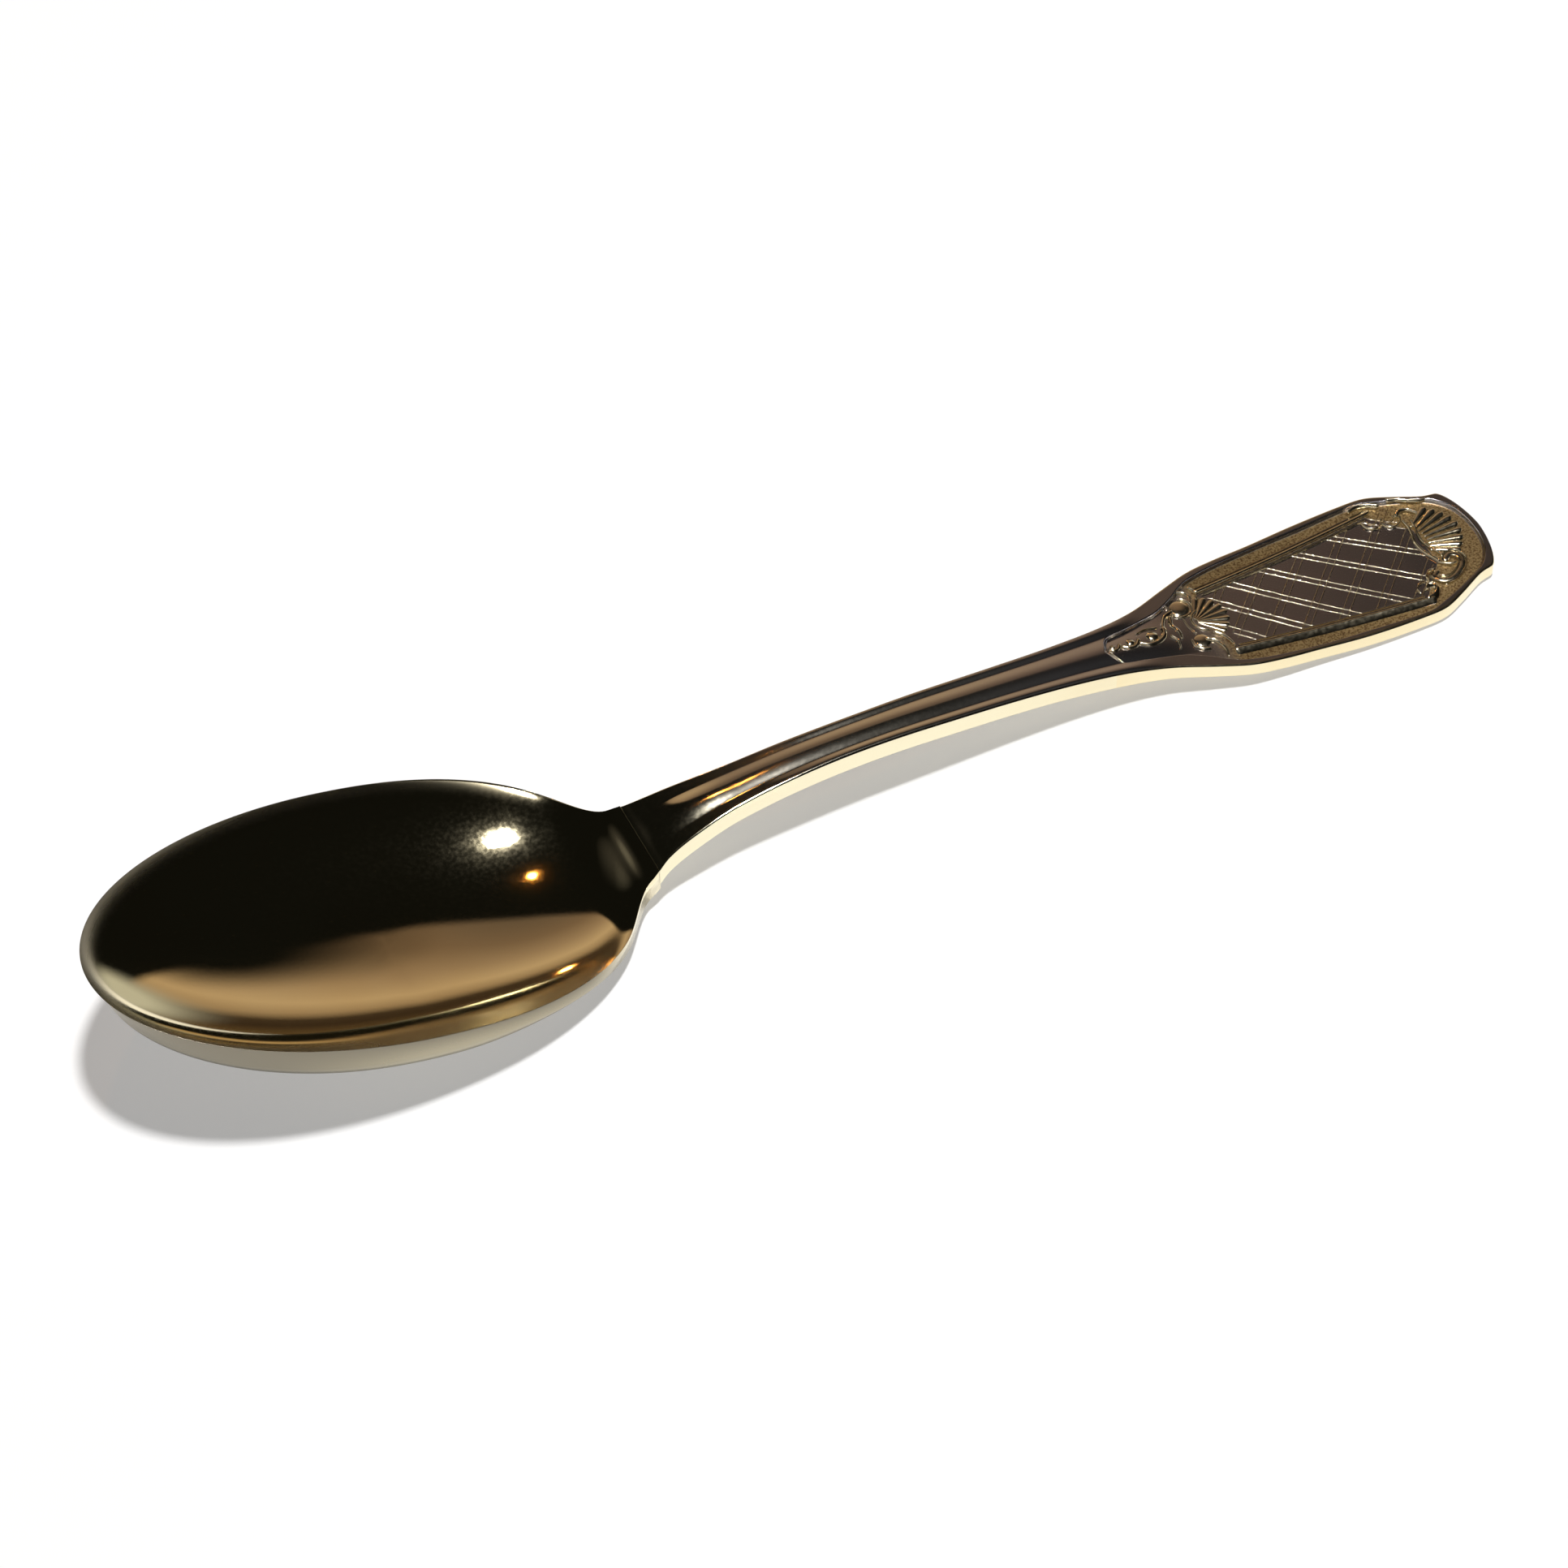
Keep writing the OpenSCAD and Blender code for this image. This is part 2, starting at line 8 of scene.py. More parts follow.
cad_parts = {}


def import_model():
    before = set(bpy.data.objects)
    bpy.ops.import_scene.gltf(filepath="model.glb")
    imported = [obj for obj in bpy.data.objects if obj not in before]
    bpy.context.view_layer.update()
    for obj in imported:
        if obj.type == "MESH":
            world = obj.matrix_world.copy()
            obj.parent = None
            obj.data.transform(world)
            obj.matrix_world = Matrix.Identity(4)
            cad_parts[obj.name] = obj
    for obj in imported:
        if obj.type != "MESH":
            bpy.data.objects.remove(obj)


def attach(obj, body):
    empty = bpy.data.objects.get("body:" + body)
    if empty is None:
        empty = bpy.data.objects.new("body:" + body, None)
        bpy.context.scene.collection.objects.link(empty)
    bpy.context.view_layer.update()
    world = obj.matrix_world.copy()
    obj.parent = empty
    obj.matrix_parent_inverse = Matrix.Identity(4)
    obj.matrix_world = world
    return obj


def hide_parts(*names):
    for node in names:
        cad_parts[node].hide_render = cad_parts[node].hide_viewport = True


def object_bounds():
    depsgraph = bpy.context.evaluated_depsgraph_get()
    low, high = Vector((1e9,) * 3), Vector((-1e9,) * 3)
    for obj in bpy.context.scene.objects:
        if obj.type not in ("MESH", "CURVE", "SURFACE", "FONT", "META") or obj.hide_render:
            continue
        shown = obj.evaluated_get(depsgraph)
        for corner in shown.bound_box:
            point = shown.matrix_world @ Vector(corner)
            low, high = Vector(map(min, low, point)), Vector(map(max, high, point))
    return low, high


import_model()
cad_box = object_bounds()

# Driving sizes, in mm of a 138 mm spoon
LENGTH = 138.0
BOWL_LENGTH = 49.2
BOWL_WIDTH = 29.8
BOWL_DEPTH = 6.6
WALL = 1.2
RIM_TIP = 14.7
RIM_HEEL = 2.3
CREST = 6.9
STEM_THICK = 2.4
TERMINAL_THICK = 1.6
TERMINAL_WIDTH = 15.7
CROWN_RISE = 0.36
THREAD_RISE = 0.12
PANEL_DROP = 0.4
HANDLE = LENGTH - BOWL_LENGTH
BELLY = 0.54*BOWL_LENGTH
CUT = BOWL_LENGTH + 0.545*HANDLE          # stem ends, terminal begins
CORNER = BOWL_LENGTH + 0.98*HANDLE        # the last corner of the outline
MM = (cad_box[1][0] - cad_box[0][0])/LENGTH   # metres for one millimetre of that spoon
BOWL_LOW = RIM_TIP - cad_box[1][2]/MM     # the table under the spoon, on the scale of the heights here

# Curves along the handle: (share of its length, share of CREST, TERMINAL_WIDTH or STEM_THICK)
TOP_SHARES = [(-0.06, 0.4), (0, 0.47), (0.035, 0.69), (0.07, 0.82), (0.12, 0.925), (0.2, 0.995), (0.3, 0.96),
              (0.4, 0.84), (0.5, 0.69), (0.6, 0.52), (0.7, 0.377), (0.8, 0.275), (0.9, 0.235), (0.95, 0.235),
              (1, 0.23)]
WIDTH_SHARES = [(-0.06, 0.3), (-0.03, 0.5), (0, 0.6), (0.035, 0.465), (0.07, 0.39), (0.12, 0.315),
                (0.2, 0.28), (0.27, 0.273), (0.35, 0.288), (0.43, 0.302), (0.5, 0.332), (0.56, 0.395),
                (0.605, 0.497), (0.65, 0.68), (0.685, 0.812), (0.72, 0.872), (0.76, 0.91), (0.82, 0.974),
                (0.885, 1), (0.91, 0.98), (0.935, 0.866), (0.965, 0.702), (0.98, 0.662)]
THICK_SHARES = [(-0.06, 0.5), (0, 0.95), (0.1, 1.05), (0.3, 1), (0.5, 0.93), (1, 0.9)]
END_BULGE, END_ROUND = 1.7, 0.62          # powers of the handle's rounded end


def smooth(table, t):
    """Cubic curve through a table of (place, value)."""
    p = np.array(table, float)
    x, y = p[:, 0], p[:, 1]
    m = np.empty(len(x))
    m[1:-1] = (y[2:] - y[:-2])/(x[2:] - x[:-2])
    m[0], m[-1] = (y[1] - y[0])/(x[1] - x[0]), (y[-1] - y[-2])/(x[-1] - x[-2])
    i = np.clip(np.searchsorted(x, t, side="right") - 1, 0, len(x) - 2)
    d = x[i + 1] - x[i]
    u = (t - x[i])/d
    return ((2*u**3 - 3*u*u + 1)*y[i] + (u**3 - 2*u*u + u)*d*m[i]
            + (3*u*u - 2*u**3)*y[i + 1] + (u**3 - u*u)*d*m[i + 1])


def ramp(a, b, x):
    """Smooth step from 0 at a to 1 at b."""
    u = np.clip((x - a)/(b - a), 0, 1)
    return u*u*(3 - 2*u)


def hermite(x, x0, x1, y0, y1, s0, s1):
    """Cubic from y0 to y1 between x0 and x1 with these end slopes."""
    d = x1 - x0
    u = np.clip((x - x0)/d, 0, 1)
    return ((2*u**3 - 3*u*u + 1)*y0 + (u**3 - 2*u*u + u)*d*s0 + (3*u*u - 2*u**3)*y1 + (u**3 - u*u)*d*s1)


def slope_of(f, x):
    return float((f(np.array([x + 0.01])) - f(np.array([x - 0.01])))[0]/0.02)


def along(x):
    return (x - BOWL_LENGTH)/HANDLE


def top_z(x):
    return CREST*smooth(TOP_SHARES, along(x))


def thickness(x):
    u = ramp(BOWL_LENGTH + 0.5*HANDLE, BOWL_LENGTH + 0.7*HANDLE, x)
    return (1 - u)*STEM_THICK*smooth(THICK_SHARES, along(x)) + u*TERMINAL_THICK


def half_width(x):
    side = TERMINAL_WIDTH/2*smooth(WIDTH_SHARES, np.minimum(along(x), along(CORNER)))
    u = np.clip((x - CORNER)/(LENGTH - CORNER), 0, 1)
    return side*(1 - u**END_BULGE)**END_ROUND


def rim_z(x):
    return RIM_TIP + (RIM_HEEL - RIM_TIP)*x/BOWL_LENGTH


# Mesh helpers
def to_row(v):
    """Points in mm from the bowl's tip, table at BOWL_LOW, to the row frame in metres."""
    v = np.asarray(v, float).reshape(-1, 3)
    return (v - (LENGTH/2, 0, BOWL_LOW))*MM


def add_attribute(mesh, name, values):
    """A value from 0 to 1 at every vertex, which the material reads by that name."""
    attribute = mesh.attributes.new(name, "FLOAT", "POINT")
    attribute.data.foreach_set("value", np.asarray(values, np.float32).ravel())


def make_piece(name, verts, quads, node_name, material, field=None):
    """A smooth mesh of quads that replaces a CAD node; field is its share of painted shade at the vertices.
    """
    verts = to_row(verts)
    quads = np.asarray(quads, np.int32)
    mesh = bpy.data.meshes.new(name)
    mesh.vertices.add(len(verts))
    mesh.vertices.foreach_set("co", verts.astype(np.float32).ravel())
    mesh.loops.add(quads.size)
    mesh.loops.foreach_set("vertex_index", quads.ravel())
    mesh.polygons.add(len(quads))
    mesh.polygons.foreach_set("loop_start", np.arange(0, quads.size, 4, dtype=np.int32))
    mesh.polygons.foreach_set("use_smooth", np.ones(len(quads), bool))
    if field is not None:
        add_attribute(mesh, "field", field)
    mesh.update(calc_edges=True)
    mesh.validate()
    mesh.materials.append(material)
    obj = bpy.data.objects.new(name, mesh)
    bpy.context.collection.objects.link(obj)
    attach(obj, "root")
    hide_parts(node_name)
    return obj


def grid_quads(n, m, start=0, wrap=False, flip=False):
    """Faces between n rows of m points; wrap closes each row, flip turns the faces over."""
    i, j = np.meshgrid(np.arange(n - 1), np.arange(m if wrap else m - 1), indexing="ij")
    a = start + i*m + j
    b = start + i*m + (j + 1) % m
    q = np.stack([a, b, b + m, a + m], -1).reshape(-1, 4)
    return q[:, ::-1] if flip else q


# Bowl
JOIN = 51.0                               # bowl and stem meet on this line across the neck
SHOULDER, NECK_END = 46.3, 50.0           # the oval outline ends here and has run into the neck there
RIM_END, RIM_RISEN = 45.0, 51.5           # the straight rim ends here and has risen to the stem's top there
TIP_POWER, HEEL_POWER = 2.0, 2.3          # of the oval outline
LIP = 0.03                                # width of the rounded rim
LIP_ROWS = 8
RIM_BAND = 1.4                            # upright edge under the rim, at the sides
TIP_BAND = 2.0
BAND_EXTRA = 0.75                         # more of it where the rim is high
TIP_UNDERCUT = 0.04                       # share by which the outside leans in below the tip's rim
RINGS, RING_POWER, RING_REACH = 84, 1.8, 0.985   # rings of the bowl's skins, closer together near the rim
SIDE_MIX = 14.0                           # the tip's and the heel's curves blend over this reach of the belly
SOFT_MIDDLE = 4.0
HEEL_BLEND = 0.14                         # softens the end of the hollow where it runs into the neck
# (power, exponent) of the depth at the side, the tip and the heel, outside and inside
UNDER_FORM = (3.0, 0.45), (3.0, 0.4), (2.0, 1.0)
INNER_FORM = (2.36, 0.79), (1.8, 0.5), (2.85, 1.06)


def oval_half(x):
    run = np.where(x < BELLY, BELLY, BOWL_LENGTH - BELLY)
    power = np.where(x < BELLY, TIP_POWER, HEEL_POWER)
    return BOWL_WIDTH/2*np.clip(1 - (np.abs(x - BELLY)/run)**power, 0, 1)**(1/power)


def neck_half(x):
    """Half width of the whole outline from the belly of the bowl into the stem."""
    x = np.asarray(x, float)
    start, end = float(oval_half(np.array(SHOULDER))), float(half_width(np.array(NECK_END)))
    bend = hermite(x, SHOULDER, NECK_END, start, end, slope_of(oval_half, SHOULDER),
                   slope_of(half_width, NECK_END))
    return np.where(x <= SHOULDER, oval_half(x), np.where(x >= NECK_END, half_width(x), bend))


def edge_z(x):
    """Height of the rim line, turning up into the stem behind the heel."""
    x = np.asarray(x, float)
    start, end = rim_z(RIM_END), float(top_z(np.array(RIM_RISEN)))
    bend = hermite(x, RIM_END, RIM_RISEN, start, end, slope_of(rim_z, RIM_END), slope_of(top_z, RIM_RISEN))
    return np.where(x <= RIM_END, rim_z(x), np.where(x >= RIM_RISEN, top_z(x), bend))


def outline_points():
    """The bowl's outline as points round the belly's centre, with the straight join across the neck."""
    tip = BELLY - BELLY*np.cos(np.linspace(0, np.pi, 150)/2)
    back = BELLY + (SHOULDER - BELLY)*np.sin(np.linspace(0, np.pi/2, 60))[1:]
    x = np.concatenate([tip, back, np.linspace(SHOULDER, JOIN, 26)[1:]])
    y = neck_half(x)
    cut = np.linspace(y[-1], -y[-1], 45)[1:-1]
    px = np.concatenate([x, np.full(len(cut), JOIN), x[:0:-1]])
    py = np.concatenate([y, cut, -y[:0:-1]])
    return px, py


OUT_X, OUT_Y = outline_points()
ON_CUT = (OUT_X >= JOIN - 1e-6)
OUT_REACH = np.hypot(OUT_X - BELLY, OUT_Y)


def soft_share(d, run, power):
    """(d/run)**power without the flat spot at zero."""
    e = SOFT_MIDDLE
    return ((d*d + e*e)**(power/2) - e**power)/((run*run + e*e)**(power/2) - e**power)


def ring_share(dx, y, lip):
    """0 at the middle and 1 on the oval that lies a lip inside the rim."""
    run = np.where(dx < 0, BELLY, BOWL_LENGTH - BELLY) - lip
    power = np.where(dx < 0, TIP_POWER, HEEL_POWER)
    wide = BOWL_WIDTH/2 - lip
    ring = ((np.abs(dx)/run)**power + (np.abs(y)/wide)**power)**(1/power)
    mix = ramp(-SIDE_MIX, SIDE_MIX, dx)
    even_run = BELLY + (BOWL_LENGTH - 2*BELLY)*mix - lip
    power = TIP_POWER + (HEEL_POWER - TIP_POWER)*mix
    even = (soft_share(dx, even_run, power) + soft_share(y, wide, power))**(1/power)
    near_rim = np.clip(ring, 0, 1)**6
    return even*(1 - near_rim) + ring*near_rim


def hollow_share(x, y, lip, side, tip, heel, blend=0.0):
    """Depth share, 1 at the middle and 0 at the oval rim; side, tip and heel are (power, exponent) there.

    blend softens the end of the hollow where it runs into the neck.
    """
    dx = x - BELLY
    ring = ring_share(dx, y, lip)
    reach = np.hypot(dx, y) + 1e-9
    at_heel, at_tip = np.clip(dx/reach, 0, 1)**2, np.clip(-dx/reach, 0, 1)**2
    at_side = 1 - at_heel - at_tip
    power = side[0]*at_side + tip[0]*at_tip + heel[0]*at_heel
    exponent = side[1]*at_side + tip[1]*at_tip + heel[1]*at_heel
    rest = 1 - ring**power
    soft = blend*at_heel*(1 - ramp(49, JOIN, x))*ramp(0.45, 0.85, ring)
    rest = np.where(soft > 0, (rest + np.sqrt(rest*rest + soft*soft))/2, np.clip(rest, 0, 1))
    rest = rest*(1 - ramp(42, 49, x)*np.clip(np.abs(y)/neck_half(np.clip(x, BELLY, JOIN)), 0, 1)**6)
    start = 0.025*(blend > 0)*(1 - at_heel)          # keeps the wall from standing upright at the rim
    share = (np.clip(rest, 0, None) + start)**exponent - start**exponent
    return share/((1 + start)**exponent - start**exponent), at_tip


def under_z(x, y):
    """Outside of the bowl: an upright band under the rim, then the hollow shape."""
    share, at_tip = hollow_share(x, y, 0.0, *UNDER_FORM)
    band = RIM_BAND + (TIP_BAND - RIM_BAND)*at_tip + BAND_EXTRA*(1 - ramp(16, 36, x))
    band = band + (thickness(x) - band)*ramp(RIM_END, JOIN, x)
    return edge_z(x) - band - (BOWL_DEPTH - band)*share


def hollow_z(x, y):
    share, _ = hollow_share(x, y, LIP, *INNER_FORM, HEEL_BLEND)
    return edge_z(x) - (BOWL_DEPTH - WALL)*share


def rings(r, inset):
    """Points on rings inside the outline; the inset fades where the bowl runs on into the stem."""
    s = np.asarray(r, float)[:, None]*(OUT_REACH - np.asarray(inset, float)[:, None]*(1 - ON_CUT))/OUT_REACH
    return BELLY + (OUT_X - BELLY)*s, OUT_Y*s


def bowl_painted_shade(outer_x, lip_x, inner_x, r):
    """Painted shade on the outside, the lip and the last part of the inner wall, more on the near side."""
    sideways = np.clip(-OUT_Y/OUT_REACH, 0, 1)**2
    outside = 1 - ramp(44, 52, outer_x)
    wall = ramp(0.92 - 0.28*sideways, 1.0 - 0.18*sideways, r[::-1, None])*(1 - ramp(40, 47, inner_x))
    outside, wall = (v*(1 - 0.25*ramp(10, 26, at)) for v, at in ((outside, outer_x), (wall, inner_x)))
    return np.concatenate([outside, 1 - ramp(40, 47, lip_x), wall])


def centre_fan(verts, row, m, flip):
    """A point in the middle of a closed row of points, and the faces round it."""
    verts = np.vstack([verts, verts[row*m:(row + 1)*m].mean(0)])
    centre = len(verts) - 1
    j = np.arange(0, m - m % 2, 2)
    q = np.stack([np.full(len(j), centre), row*m + j, row*m + (j + 1) % m, row*m + (j + 2) % m], -1)
    return verts, (q[:, ::-1] if flip else q)


def build_bowl(material):
    r = 1 - np.linspace(1, 0, RINGS)**RING_POWER*RING_REACH
    ox, oy = rings(r, 0*r)
    oz = under_z(ox, oy)
    undercut = 1 - TIP_UNDERCUT*np.clip((BELLY - OUT_X)/BELLY, 0, 1)**2
    ox, oy = BELLY + (ox - BELLY)*undercut, oy*undercut
    turn = np.linspace(0, np.pi/2, LIP_ROWS)
    lx, ly = rings(np.ones(LIP_ROWS), LIP*(1 - np.cos(turn)))
    lz = edge_z(lx) - LIP*(1 - np.sin(turn))[:, None]*(1 - ON_CUT)
    ix, iy = rings(r[::-1], LIP + 0*r)
    iz = hollow_z(ix, iy)
    x, y, z = (np.concatenate(v) for v in ((ox, lx, ix), (oy, ly, iy), (oz, lz, iz)))
    n, m = x.shape
    verts = np.stack([x, y, z], -1).reshape(-1, 3)
    quads = [grid_quads(n, m, wrap=True)]
    for row, flip in ((0, True), (n - 1, False)):
        verts, fan = centre_fan(verts, row, m, flip)
        quads.append(fan)
    # painted shade: a darker, duller tone that dims what the bowl mirrors there
    painted_shade = np.append(bowl_painted_shade(ox, lx, ix, r).ravel(), (0, 0))
    return make_piece("bowl_fine", verts, np.vstack(quads), "bowl", material, painted_shade)


# Relief of the terminal
SINK = 0.12                               # how far the relief reaches into the panel
CROWN_FULL, CROWN_EASED = 56.0, 61.0      # the crown is highest here, and even from there on
CROWN_FADE, CROWN_END = 99.0, 110.0
CROWN_HALF = 0.56                         # its half width as a share of the stem's
THREAD_START, THREAD_FULL = 60.0, 72.0    # the fine thread along the stem's edges rises between these
THREAD_FADE, THREAD_END = 98.0, 104.0
THREAD_FOOT, THREAD_CREST = 0.5, 0.82     # its place between the axis and the edge
THREAD_FALL = 0.2                         # reach of its outer flank
FIELD_START, FIELD_END = 110.1, 129.0     # of the lattice field
FIELD_BASE, FIELD_WIDE = 3.42, 5.42       # its half widths there
FIELD_GROWTH = (FIELD_WIDE - FIELD_BASE)/(FIELD_END - FIELD_START)
PANEL = [(98.0, 0.02), (98.9, 1.6), (101, 2.05), (103, 2.45), (105, 2.95), (107, 3.95), (108.5, 4.95),
         (110, 5.6), (113, 6.2), (118, 6.75), (122, 7.0), (126, 7.3), (128.5, 7.35), (130, 6.95),
         (132, 6.25), (134.5, 5.2), (135.8, 4.4), (136.9, 2.9), (137.35, 1.2), (137.42, 0.0)]


def crown_body(x, t):
    """Rounded middle of the stem that runs out in the panel; t is 0 on the axis and 1 at the edge."""
    body = CROWN_RISE*(0.9 - 0.34*ramp(CROWN_FULL, CROWN_EASED, x))*ramp(JOIN, CROWN_FULL, x)
    body = body*(1 - ramp(CROWN_FADE, CROWN_END, x))
    return body*np.cos(np.clip(np.abs(t)/CROWN_HALF, 0, 1)*np.pi/2)**1.15


def border_thread(x, t):
    """Fine raised thread along the edges of the stem."""
    fall = np.clip(1 - ((t - THREAD_CREST)/THREAD_FALL)**2, 0, 1)
    flank = np.where(t < THREAD_CREST, ramp(THREAD_FOOT, THREAD_CREST, t), fall)
    return THREAD_RISE*ramp(THREAD_START, THREAD_FULL, x)*(1 - ramp(THREAD_FADE, THREAD_END, x))*flank


def floor_z(x, y):
    """The sunken panel's floor."""
    return edge_z(x) - PANEL_DROP + crown_body(x, np.abs(y)/half_width(x))


def field_half(x):
    return FIELD_BASE + FIELD_GROWTH*(x - FIELD_START)


def segment_distance(x, y, px, py):
    """Distance of points from a chain of straight segments."""
    best = np.full(x.shape, 99.0)
    for i in range(len(px) - 1):
        dx, dy = px[i + 1] - px[i], py[i + 1] - py[i]
        u = np.clip(((x - px[i])*dx + (y - py[i])*dy)/(dx*dx + dy*dy + 1e-12), 0, 1)
        np.minimum(best, np.hypot(x - px[i] - u*dx, y - py[i] - u*dy), out=best)
    return best


def panel_inside(x, y):
    """Distance from the panel's edge, positive inside the panel."""
    p = np.array(PANEL)
    t = np.linspace(0, len(p) - 1.0001, 160)
    k = np.arange(len(p), dtype=float)
    px = smooth(np.stack([k, p[:, 0]], -1), t)
    py = np.clip(smooth(np.stack([k, p[:, 1]], -1), t), 0, None)
    ay = np.abs(y)
    best = segment_distance(x, ay, px, py)
    inside = (ay < np.interp(x, np.maximum.accumulate(px), py)) & (x > px[0]) & (x < px[-1])
    return np.where(inside, best, -best)


def curve(points, n=8):
    """A smooth curve through given points, as many short steps."""
    p = np.array(points, float)
    s = np.concatenate([[0], np.cumsum(np.hypot(*np.diff(p, axis=0).T))])
    t = np.clip(np.linspace(0, s[-1], n*(len(p) - 1) + 1), 0, s[-1] - 1e-6)
    return np.stack([smooth(np.stack([s, p[:, c]], -1), t) for c in (0, 1)], -1)


def arc(cx, cy, r, a0, a1, n=22):
    a = np.radians(np.linspace(a0, a1, n))
    return np.stack([cx + r*np.cos(a), cy + r*np.sin(a)], -1)


def beside(points, shift):
    """The same curve moved sideways, to its left when shift is positive."""
    step = np.gradient(points, axis=0)
    step = step/np.hypot(*step.T)[:, None]
    return points + shift*np.stack([-step[:, 1], step[:, 0]], -1)


class Ornament:
    """Collects the swept strokes and bosses of one named piece of relief as one mesh."""

    def __init__(self, height=1.0):
        self.verts, self.quads, self.count = [], [], 0
        self.height = height                  # share of the heights given to its strokes and bosses

    def add(self, x, y, z, quads):
        self.verts.append(np.stack([x, y, z], -1).reshape(-1, 3))
        self.quads.append(quads + self.count)
        self.count += x.size

    def stroke(self, pts, r0, r1, rise, power=0.62, lean=0.0):
        """A rounded bar along the points, its half width going from r0 to r1, with round ends.

        lean moves the crest towards the far side, or towards the near side when negative.
        """
        pts = np.asarray(pts, float)
        s = np.concatenate([[0], np.cumsum(np.hypot(*np.diff(pts, axis=0).T))])
        t = np.linspace(0, s[-1], max(4, int(s[-1]/0.07)))
        px, py = np.interp(t, s, pts[:, 0]), np.interp(t, s, pts[:, 1])
        dx, dy = np.gradient(px), np.gradient(py)
        length = np.hypot(dx, dy) + 1e-12
        dx, dy = dx/length, dy/length
        r = r0 + (r1 - r0)*t/s[-1]
        cap = np.sin(np.linspace(0, np.pi/2, 7))[1:]
        back, ahead = r0*cap[::-1], r1*cap
        px = np.concatenate([px[0] - dx[0]*back, px, px[-1] + dx[-1]*ahead])
        py = np.concatenate([py[0] - dy[0]*back, py, py[-1] + dy[-1]*ahead])
        r = np.concatenate([r0*np.sqrt(1.0004 - cap[::-1]**2), r, r1*np.sqrt(1.0004 - cap**2)])
        dx = np.concatenate([np.full(6, dx[0]), dx, np.full(6, dx[-1])])
        dy = np.concatenate([np.full(6, dy[0]), dy, np.full(6, dy[-1])])
        u = np.sin(np.linspace(-np.pi/2, np.pi/2, 13))
        x = px[:, None] - dy[:, None]*r[:, None]*u
        y = py[:, None] + dx[:, None]*r[:, None]*u
        crest = lean*dx[:, None]
        dome = np.clip(1 - ((u - crest)/(1 - crest*u))**2, 0, 1)**power
        self.sheet(x, y, self.height*rise*np.sqrt(np.clip(r/max(r0, r1), 0, 1))[:, None]*dome)

    def boss(self, cx, cy, r, rise, power=0.6):
        """A rounded button."""
        a = np.linspace(0, 2*np.pi, 33)[:-1]
        k = np.sin(np.linspace(0.02, np.pi/2, 9))[:, None]
        x, y = cx + r*k*np.cos(a), cy + r*k*np.sin(a)
        z = floor_z(x, y) + self.height*rise*np.clip(1 - k*k, 0, 1)**power
        low = floor_z(x[-1], y[-1]) - SINK
        n, m = x.shape
        xs = np.vstack([np.full((1, m), cx), x, x[-1], np.full((1, m), cx)])
        ys = np.vstack([np.full((1, m), cy), y, y[-1], np.full((1, m), cy)])
        zs = np.vstack([np.full((1, m), z[0].mean()), z, low, np.full((1, m), low.mean())])
        self.add(xs, ys, zs, grid_quads(n + 3, m, wrap=True))

    def sheet(self, x, y, h):
        """A closed bar from rows of points with heights above the panel."""
        lx, ly = x[:, ::-1], y[:, ::-1]
        xs, ys = np.hstack([x, lx]), np.hstack([y, ly])
        zs = np.hstack([floor_z(x, y) + h, floor_z(lx, ly) - SINK])
        self.add(xs, ys, zs, grid_quads(*xs.shape, wrap=True)[:, ::-1])

    def shell(self, cx, cy, first, last, count, inner, outer, width, rise):
        """Fan of ribs that widen outwards and overlap, with rounded ends."""
        for k in range(count):
            a = math.radians(first + (last - first)*k/(count - 1))
            reach = outer*(0.93 + 0.07*math.cos(2*(k/(count - 1) - 0.5)*2.4))
            start = (cx + inner*math.cos(a), cy + inner*math.sin(a))
            end = (cx + reach*math.cos(a), cy + reach*math.sin(a))
            self.stroke([start, end], width*0.3, width, rise*(1.0 if k % 2 else 0.94), 0.55)

    def piece(self, name, material):
        verts, quads = np.concatenate(self.verts), np.concatenate(self.quads)
        return make_piece(name + "_fine", verts, quads, name, material)


# Every ornament of the terminal is placed in mm from the bowl's tip and from the axis
def carve_frame():
    """Moulding bars along the field, steep towards it, each with a fine line inside."""
    bars = Ornament()
    for side in (-1, 1):
        x = np.linspace(FIELD_START - 0.3, FIELD_END + 0.3, 9)
        bars.stroke(np.stack([x, side*(field_half(x) + 0.76)], -1), 0.4, 0.4, 0.36, 0.6, -0.6*side)
        x = np.linspace(FIELD_START + 0.1, FIELD_END - 0.2, 9)
        bars.stroke(np.stack([x, side*field_half(x)], -1), 0.1, 0.1, 0.2, 0.7)
    return bars


def carve_lattice():
    """Double lines: the bold ones run down towards the near side, the fine ones cross them."""
    lines = Ornament()
    for family, radius, rise, gap in ((-1, 0.038, 0.045, 0.95), (1, 0.06, 0.11, 0.9)):
        for k in range(7):
            slope = 1.02 - 0.042*k if family < 0 else 0.98
            foot = 109.1 + 3.85*k + 0.1*k*k if family < 0 else 108.6 + 4.16*k
            for x0 in (foot - gap/2, foot + gap/2):
                up = field_half(x0)/(1 - family*FIELD_GROWTH/slope)
                down = -field_half(x0)/(1 + family*FIELD_GROWTH/slope)
                ends = sorted((family*slope*(FIELD_START + 0.4 - x0), family*slope*(131.6 - x0)))
                y0, y1 = max(down, ends[0]), min(up, ends[1])
                if y1 - y0 > 0.5:
                    lines.stroke([(x0 + family*y/slope, y) for y in (y0, y1)], radius, radius, rise, 0.8)
    return lines


def carve_end_shell():
    fan = Ornament()
    fan.shell(129.5, 0.9, 33, -28, 9, 3.3, 6.5, 0.43, 0.3)
    return fan


